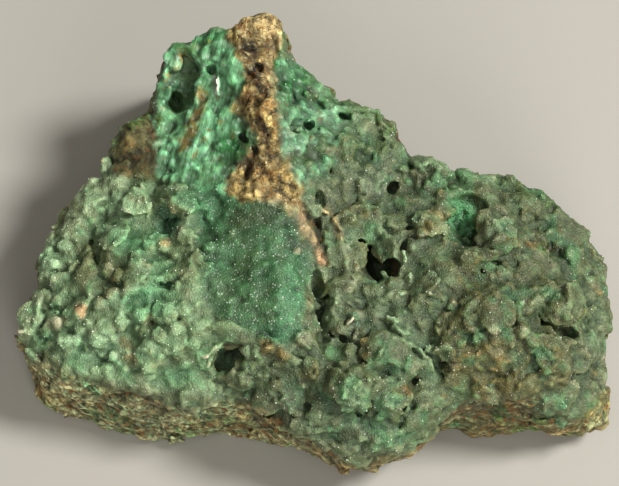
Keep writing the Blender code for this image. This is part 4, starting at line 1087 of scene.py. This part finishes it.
middle = np.array(((lo[0] + hi[0]) / 2, (lo[1] + hi[1]) / 2 - 6.0))
face_angle = np.arctan2(face_mid[:, 1] - middle[1], face_mid[:, 0] - middle[0])
turn = np.arctan2(C[:, 1] - middle[1], C[:, 0] - middle[0])
turn = face_angle[face_of] + (turn - face_angle[face_of] + math.pi) % (2 * math.pi) - math.pi
half_turn = face_angle[face_of] > 0
m = (corner_kind == 1) & half_turn
uv[m, 0] = 0.005 + 0.33 * turn[m] / math.pi
uv[m, 1] = 0.125 + 0.1 * (C[m, 2] - lo[2]) / span[2]
m = (corner_kind == 1) & ~half_turn
uv[m, 0] = 0.005 + 0.33 * (turn[m] + math.pi) / math.pi
uv[m, 1] = 0.01 + 0.1 * (C[m, 2] - lo[2]) / span[2]
uv = np.clip(uv, 0.001, 0.999)
layer = rock_mesh.uv_layers.new(name="OFBake")
layer.data.foreach_set("uv", uv.astype(np.float32).ravel())


# ---------------------------------------------------------------- materials
class Nodes:
    """A short way to write a node tree."""

    def __init__(self, material):
        material.use_nodes = True
        self.tree = material.node_tree
        self.shader = self.tree.nodes["Principled BSDF"]

    def add(self, kind, inputs=None, **settings):
        node = self.tree.nodes.new(kind)
        for key, value in settings.items():
            setattr(node, key, value)
        for key, value in (inputs or {}).items():
            self.put(value, node.inputs[key])
        return node

    def put(self, value, socket):
        if isinstance(value, bpy.types.NodeSocket):
            self.tree.links.new(value, socket)
        else:
            socket.default_value = value

    def math(self, operation, a, b=0.0, clamp=False):
        node = self.add("ShaderNodeMath", {0: a, 1: b}, operation=operation, use_clamp=clamp)
        return node.outputs[0]

    def attribute(self, name, colour=False):
        node = self.add("ShaderNodeAttribute", attribute_name=name)
        return node.outputs["Color" if colour else "Fac"]

    def mix(self, mode, factor, a, b):
        node = self.add("ShaderNodeMix", data_type="RGBA", blend_type=mode, clamp_result=True)
        self.put(factor, node.inputs["Factor"])
        self.put(a, node.inputs["A"] if False else node.inputs[6])
        self.put(b, node.inputs[7])
        return node.outputs[2]

    def ramp(self, value, stops):
        node = self.add("ShaderNodeValToRGB", {"Fac": value})
        elements = node.color_ramp.elements
        while len(elements) < len(stops):
            elements.new(0.5)
        for element, (at, level) in zip(elements, stops):
            element.position = at
            element.color = (level, level, level, 1.0)
        return node.outputs["Color"]


def rock_material():
    material = bpy.data.materials.new("green_druse_rock")
    n = Nodes(material)
    place = n.add("ShaderNodeTexCoord").outputs["Object"]
    tint = n.attribute("tint", colour=True)
    grit, fibre, druse = n.attribute("grit"), n.attribute("fibre"), n.attribute("druse")
    sparkle, hollow = n.attribute("sparkle"), n.attribute("hollow")

    # fine crystals: cells a third of a millimetre across
    crystal = n.add("ShaderNodeTexVoronoi", {"Vector": place, "Scale": 2600.0, "Randomness": 1.0}, feature="F1")
    coarse = n.add("ShaderNodeTexVoronoi", {"Vector": place, "Scale": 1150.0, "Randomness": 1.0}, feature="F1")
    grain = n.add("ShaderNodeTexNoise", {"Vector": place, "Scale": 1500.0, "Detail": 5.0, "Roughness": 0.65})
    cloud = n.add("ShaderNodeTexNoise", {"Vector": place, "Scale": 420.0, "Detail": 4.0, "Roughness": 0.6})
    broad = n.add("ShaderNodeTexNoise", {"Vector": place, "Scale": 110.0, "Detail": 3.0, "Roughness": 0.55})
    streak_place = n.add("ShaderNodeMapping", {"Vector": place, "Rotation": (0.0, 0.0, -0.29), "Scale": (1 / 2600.0, 1 / 330.0, 1 / 900.0)}, vector_type="TEXTURE").outputs[0]
    streak = n.add("ShaderNodeTexNoise", {"Vector": streak_place, "Scale": 1.0, "Detail": 3.0, "Roughness": 0.6})
    cell_value = n.add("ShaderNodeSeparateColor", {"Color": crystal.outputs["Color"]})
    block_value = n.add("ShaderNodeSeparateColor", {"Color": coarse.outputs["Color"]})

    # colour: broad clouds, then grain, then each crystal's own lightness
    lightness = n.ramp(cloud.outputs["Fac"], [(0.30, 0.86), (0.70, 1.14)])
    colour = n.mix("MULTIPLY", 1.0, tint, lightness)
    warm = n.add("ShaderNodeMapRange", {"Value": broad.outputs["Fac"], "From Min": 0.42, "From Max": 0.62})
    colour = n.mix("MIX", n.math("MULTIPLY", warm.outputs[0], n.math("MULTIPLY", druse, 0.10)), colour, (0.16, 0.15, 0.055, 1.0))
    cool = n.add("ShaderNodeMapRange", {"Value": grain.outputs["Fac"], "From Min": 0.56, "From Max": 0.72})
    colour = n.mix("MIX", n.math("MULTIPLY", cool.outputs[0], n.math("MULTIPLY", druse, 0.14)), colour, (0.42, 0.58, 0.40, 1.0))
    facet = n.ramp(cell_value.outputs[0], [(0.0, 0.74), (0.55, 1.0), (1.0, 1.28)])
    colour = n.mix("MULTIPLY", n.math("MULTIPLY", n.math("SUBTRACT", 1.0, fibre), 0.85), colour, facet)
    lump = n.ramp(block_value.outputs[1], [(0.0, 0.50), (0.5, 1.0), (1.0, 1.55)])
    colour = n.mix("MULTIPLY", n.math("MULTIPLY", grit, 0.95), colour, lump)
    leaf_place = n.add("ShaderNodeMapping", {"Vector": place, "Rotation": (0.15, 0.36, 0.0), "Scale": (1 / 260.0, 1 / 260.0, 1 / 1500.0)}, vector_type="TEXTURE").outputs[0]
    leaves = n.add("ShaderNodeTexNoise", {"Vector": leaf_place, "Scale": 1.0, "Detail": 5.0, "Roughness": 0.7})
    colour = n.mix("MULTIPLY", n.math("MULTIPLY", grit, 0.9), colour, n.ramp(leaves.outputs["Fac"], [(0.34, 0.55), (0.48, 1.0), (0.64, 1.35)]))
    sway = n.add("ShaderNodeTexNoise", {"Vector": place, "Scale": 520.0, "Detail": 3.0, "Roughness": 0.6})
    bent = n.add("ShaderNodeVectorMath", {0: sway.outputs["Color"], 1: (0.0022, 0.0022, 0.0022)}, operation="MULTIPLY").outputs[0]
    bent = n.add("ShaderNodeVectorMath", {0: place, 1: bent}, operation="ADD").outputs[0]
    crack = n.add("ShaderNodeTexVoronoi", {"Vector": bent, "Scale": 880.0, "Randomness": 1.0}, feature="DISTANCE_TO_EDGE")
    line = n.add("ShaderNodeMapRange", {"Value": crack.outputs["Distance"], "From Min": 0.075, "From Max": 0.01})
    gap = n.add("ShaderNodeMapRange", {"Value": cloud.outputs["Fac"], "From Min": 0.46, "From Max": 0.56})
    line = n.math("MULTIPLY", n.math("MULTIPLY", line.outputs[0], gap.outputs[0]), grit)
    colour = n.mix("MIX", n.math("MULTIPLY", line, 0.50), colour, (0.018, 0.014, 0.010, 1.0))
    rusty = n.add("ShaderNodeMapRange", {"Value": block_value.outputs[2], "From Min": 0.80, "From Max": 0.88})
    colour = n.mix("MIX", n.math("MULTIPLY", n.math("MULTIPLY", rusty.outputs[0], grit), 0.55), colour, (0.20, 0.085, 0.015, 1.0))
    bands = n.ramp(streak.outputs["Fac"], [(0.30, 0.74), (0.68, 1.28)])
    colour = n.mix("MULTIPLY", fibre, colour, bands)

    # painted glints: pale points laid in the base colour on random crystal cells of the sparkling druse, kept out of
    # hollows, standing in for crystal faces that catch the light
    flash = n.add("ShaderNodeMapRange", {"Value": cell_value.outputs[1], "From Min": 0.905, "From Max": 0.93})
    flash = n.math("MULTIPLY", flash.outputs[0], n.math("MULTIPLY", sparkle, n.math("SUBTRACT", 1.0, hollow)))
    near = n.add("ShaderNodeMapRange", {"Value": crystal.outputs["Distance"], "From Min": 0.50, "From Max": 0.28})
    flash = n.math("MULTIPLY", flash, near.outputs[0], clamp=True)
    colour = n.mix("MIX", n.math("MULTIPLY", flash, 0.75), colour, (0.80, 0.84, 0.72, 1.0))
    n.put(colour, n.shader.inputs["Base Color"])

    # sheen of each surface: glassy druse, dull matrix
    rough = n.add("ShaderNodeMapRange", {"Value": grain.outputs["Fac"], "From Min": 0.3, "From Max": 0.7, "To Min": 0.38, "To Max": 0.62}).outputs[0]
    rough = n.math("ADD", rough, n.math("MULTIPLY", grit, 0.32))
    rough = n.math("ADD", rough, n.math("MULTIPLY", hollow, 0.15))
    rough = n.math("SUBTRACT", rough, n.math("MULTIPLY", n.math("MULTIPLY", cell_value.outputs[2], sparkle), 0.22))
    rough = n.math("SUBTRACT", rough, n.math("MULTIPLY", flash, 0.3), clamp=True)
    n.put(rough, n.shader.inputs["Roughness"])
    n.put(1.54, n.shader.inputs["IOR"])
    n.put(0.35, n.shader.inputs["Specular IOR Level"])
    # light goes a little way into the waxy crust
    n.put(n.math("MULTIPLY", druse, 0.12), n.shader.inputs["Subsurface Weight"])
    n.put((0.8, 1.0, 0.75), n.shader.inputs["Subsurface Radius"])
    n.put(0.0011, n.shader.inputs["Subsurface Scale"])

    # relief too fine for the mesh
    crystal_up = n.math("SUBTRACT", 1.0, crystal.outputs["Distance"])
    coarse_up = n.math("SUBTRACT", 1.0, coarse.outputs["Distance"])
    height = n.math("MULTIPLY", crystal_up, n.math("ADD", 0.05, n.math("MULTIPLY", druse, 0.34)))
    height = n.math("ADD", height, n.math("MULTIPLY", coarse_up, n.math("ADD", 0.05, n.math("MULTIPLY", grit, 0.30))))
    height = n.math("ADD", height, n.math("MULTIPLY", grain.outputs["Fac"], 0.14))
    height = n.math("ADD", height, n.math("MULTIPLY", n.math("MULTIPLY", leaves.outputs["Fac"], grit), 0.9))
    height = n.math("SUBTRACT", height, n.math("MULTIPLY", line, 0.5))
    height = n.math("ADD", height, n.math("MULTIPLY", n.math("MULTIPLY", streak.outputs["Fac"], fibre), 0.5))
    bump = n.add("ShaderNodeBump", {"Height": height, "Strength": 1.0, "Distance": 0.00045})
    n.put(bump.outputs[0], n.shader.inputs["Normal"])
    return material


def crystal_material():
    """Clear, faintly green druse points."""
    material = bpy.data.materials.new("druse_points")
    n = Nodes(material)
    place = n.add("ShaderNodeTexCoord").outputs["Object"]
    tint = n.attribute("tint", colour=True)
    cloud = n.add("ShaderNodeTexNoise", {"Vector": place, "Scale": 2400.0, "Detail": 3.0, "Roughness": 0.6})
    lightness = n.ramp(cloud.outputs["Fac"], [(0.30, 0.82), (0.70, 1.18)])
    n.put(n.mix("MULTIPLY", 1.0, tint, lightness), n.shader.inputs["Base Color"])
    rough = n.add("ShaderNodeMapRange", {"Value": cloud.outputs["Fac"], "From Min": 0.3, "From Max": 0.7, "To Min": 0.12, "To Max": 0.32}).outputs[0]
    n.put(rough, n.shader.inputs["Roughness"])
    n.put(1.54, n.shader.inputs["IOR"])
    bump = n.add("ShaderNodeBump", {"Height": cloud.outputs["Fac"], "Strength": 0.3, "Distance": 0.00005})
    n.put(bump.outputs[0], n.shader.inputs["Normal"])
    return material


rock_mesh.materials.clear()
rock_mesh.materials.append(rock_material())
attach(rock, BODY)
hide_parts(NODE)

# ---------------------------------------------------------------- druse points
# Small six-sided points standing out of the druse, most of them on the smooth dome.
weight = (0.9 * G["dome"] + 0.40 * G["left"] + 0.30 * G["right"] + 0.32 * G["lobe"] + 0.32 * G["middle"] + 0.12 * G["emeralds"]) * (1 - edge_line) * (1 - dark)
source = np.random.default_rng(91)
order = source.permutation(count)
keys = np.floor(P[order] / 0.72 + 0.21).astype(np.int64)
code = (keys[:, 0] * 4001 + keys[:, 1]) * 4001 + keys[:, 2]
_, first = np.unique(code, return_index=True)
chosen = order[first]
chosen = chosen[source.uniform(size=len(chosen)) < weight[chosen] * 0.32]
total = len(chosen)
long_r = source.uniform(0.13, 0.27, total)
wide_r = long_r * source.uniform(0.45, 0.7, total)
lean = source.normal(size=(total, 3)) * 0.45
axis = N[chosen] + lean
axis /= np.linalg.norm(axis, axis=1)[:, None]
side = np.cross(axis, source.normal(size=(total, 3)))
side /= np.linalg.norm(side, axis=1)[:, None]
third = np.cross(axis, side)
base = P[chosen] - axis * 0.08
corners = []
for k in range(6):
    a = math.pi / 3 * k
    corners.append(base + (side * math.cos(a) + third * math.sin(a)) * wide_r[:, None])
for k in range(6):
    corners.append(corners[k] + axis * long_r[:, None] * 0.55)
corners.append(base + axis * long_r[:, None] * 1.25)
corners.append(base - axis * long_r[:, None] * 0.3)
pv = np.stack(corners, 1)  # total, 14, 3
pf = []
for k in range(6):
    j = (k + 1) % 6
    pf += [(k, j, 6 + j), (k, 6 + j, 6 + k), (6 + k, 6 + j, 12), (j, k, 13)]
pf = np.array(pf)
point_faces = (pf[None] + (np.arange(total) * 14)[:, None, None]).reshape(-1, 3)
points_mesh = make_mesh("druse_points", pv.reshape(-1, 3) / 1000.0, point_faces)
druse_points = bpy.data.objects.new("druse_points", points_mesh)
bpy.context.scene.collection.objects.link(druse_points)
point_tint = np.minimum(tint[chosen] * 1.25 + source.uniform(0.05, 0.45, total)[:, None], 0.85)
rgba = np.ones((total * 14, 4), np.float32)
rgba[:, :3] = np.repeat(point_tint, 14, axis=0)
points_mesh.attributes.new("tint", "FLOAT_COLOR", "POINT").data.foreach_set("color", rgba.ravel())
points_mesh.materials.append(crystal_material())
per_row = int(math.ceil(math.sqrt(total)))
cell_u, cell_v = np.arange(total) % per_row, np.arange(total) // per_row
local = np.array([(0.5 + 0.36 * math.cos(math.pi / 3 * k), 0.5 + 0.36 * math.sin(math.pi / 3 * k)) for k in range(6)] * 2 + [(0.5, 0.5), (0.5, 0.5)])
local[6:12] = 0.5 + (local[6:12] - 0.5) * 0.6
puv = (np.stack([cell_u, cell_v], 1)[:, None, :] + local[None]) / per_row
pc = np.empty(len(points_mesh.loops), np.int32)
points_mesh.loops.foreach_get("vertex_index", pc)
points_mesh.uv_layers.new(name="OFBake").data.foreach_set("uv", puv.reshape(-1, 2)[pc].astype(np.float32).ravel())
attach(druse_points, BODY)
print("points", total)

# ---------------------------------------------------------------- ground, light, eye
bpy.ops.mesh.primitive_plane_add(size=3.0, location=(0.0, 0.0, 0.0))
floor = bpy.context.active_object
floor.name = "floor"
floor_material = bpy.data.materials.new("floor")
floor_nodes = Nodes(floor_material)
floor_nodes.put((0.385, 0.372, 0.335, 1.0), floor_nodes.shader.inputs["Base Color"])
floor_nodes.put(0.85, floor_nodes.shader.inputs["Roughness"])
floor_nodes.put(0.1, floor_nodes.shader.inputs["Specular IOR Level"])
floor.data.materials.append(floor_material)

scene = bpy.context.scene
scene.view_settings.view_transform = "Standard"
world = scene.world or bpy.data.worlds.new("World")
scene.world = world
world.use_nodes = True
world.node_tree.nodes["Background"].inputs["Color"].default_value = (1.0, 0.935, 0.83, 1.0)
world.node_tree.nodes["Background"].inputs["Strength"].default_value = 0.22


def area_light(name, place, aim, size, power, colour):
    light = bpy.data.lights.new(name, "AREA")
    light.shape, light.size = "DISK", size
    light.energy, light.color = power, colour
    obj = bpy.data.objects.new(name, light)
    obj.location = place
    obj.rotation_euler = (Vector(aim) - Vector(place)).to_track_quat("-Z", "Y").to_euler()
    scene.collection.objects.link(obj)


area_light("window", (0.74, 0.05, 0.90), (0.0, 0.0, 0.02), 0.32, 17.5, (1.0, 0.985, 0.96))
area_light("fill", (0.22, -0.85, 0.42), (0.0, 0.0, 0.02), 0.5, 5.0, (1.0, 0.975, 0.94))
area_light("ceiling", (-0.10, -0.30, 0.90), (0.0, 0.0, 0.0), 0.6, 1.3, (1.0, 0.98, 0.95))

eye = bpy.data.cameras.new("eye")
eye.type = "PERSP"
eye.sensor_width = 36.0
eye.lens = 18.0 / (619 * UNIT / 2 / EYE_DISTANCE)
eye.clip_start, eye.clip_end = 0.01, 10.0
camera = bpy.data.objects.new("eye", eye)
camera.location = tuple(EYE / 1000.0)
camera.rotation_euler = Vector(OUT).to_track_quat("Z", "Y").to_euler()
scene.collection.objects.link(camera)
scene.camera = camera
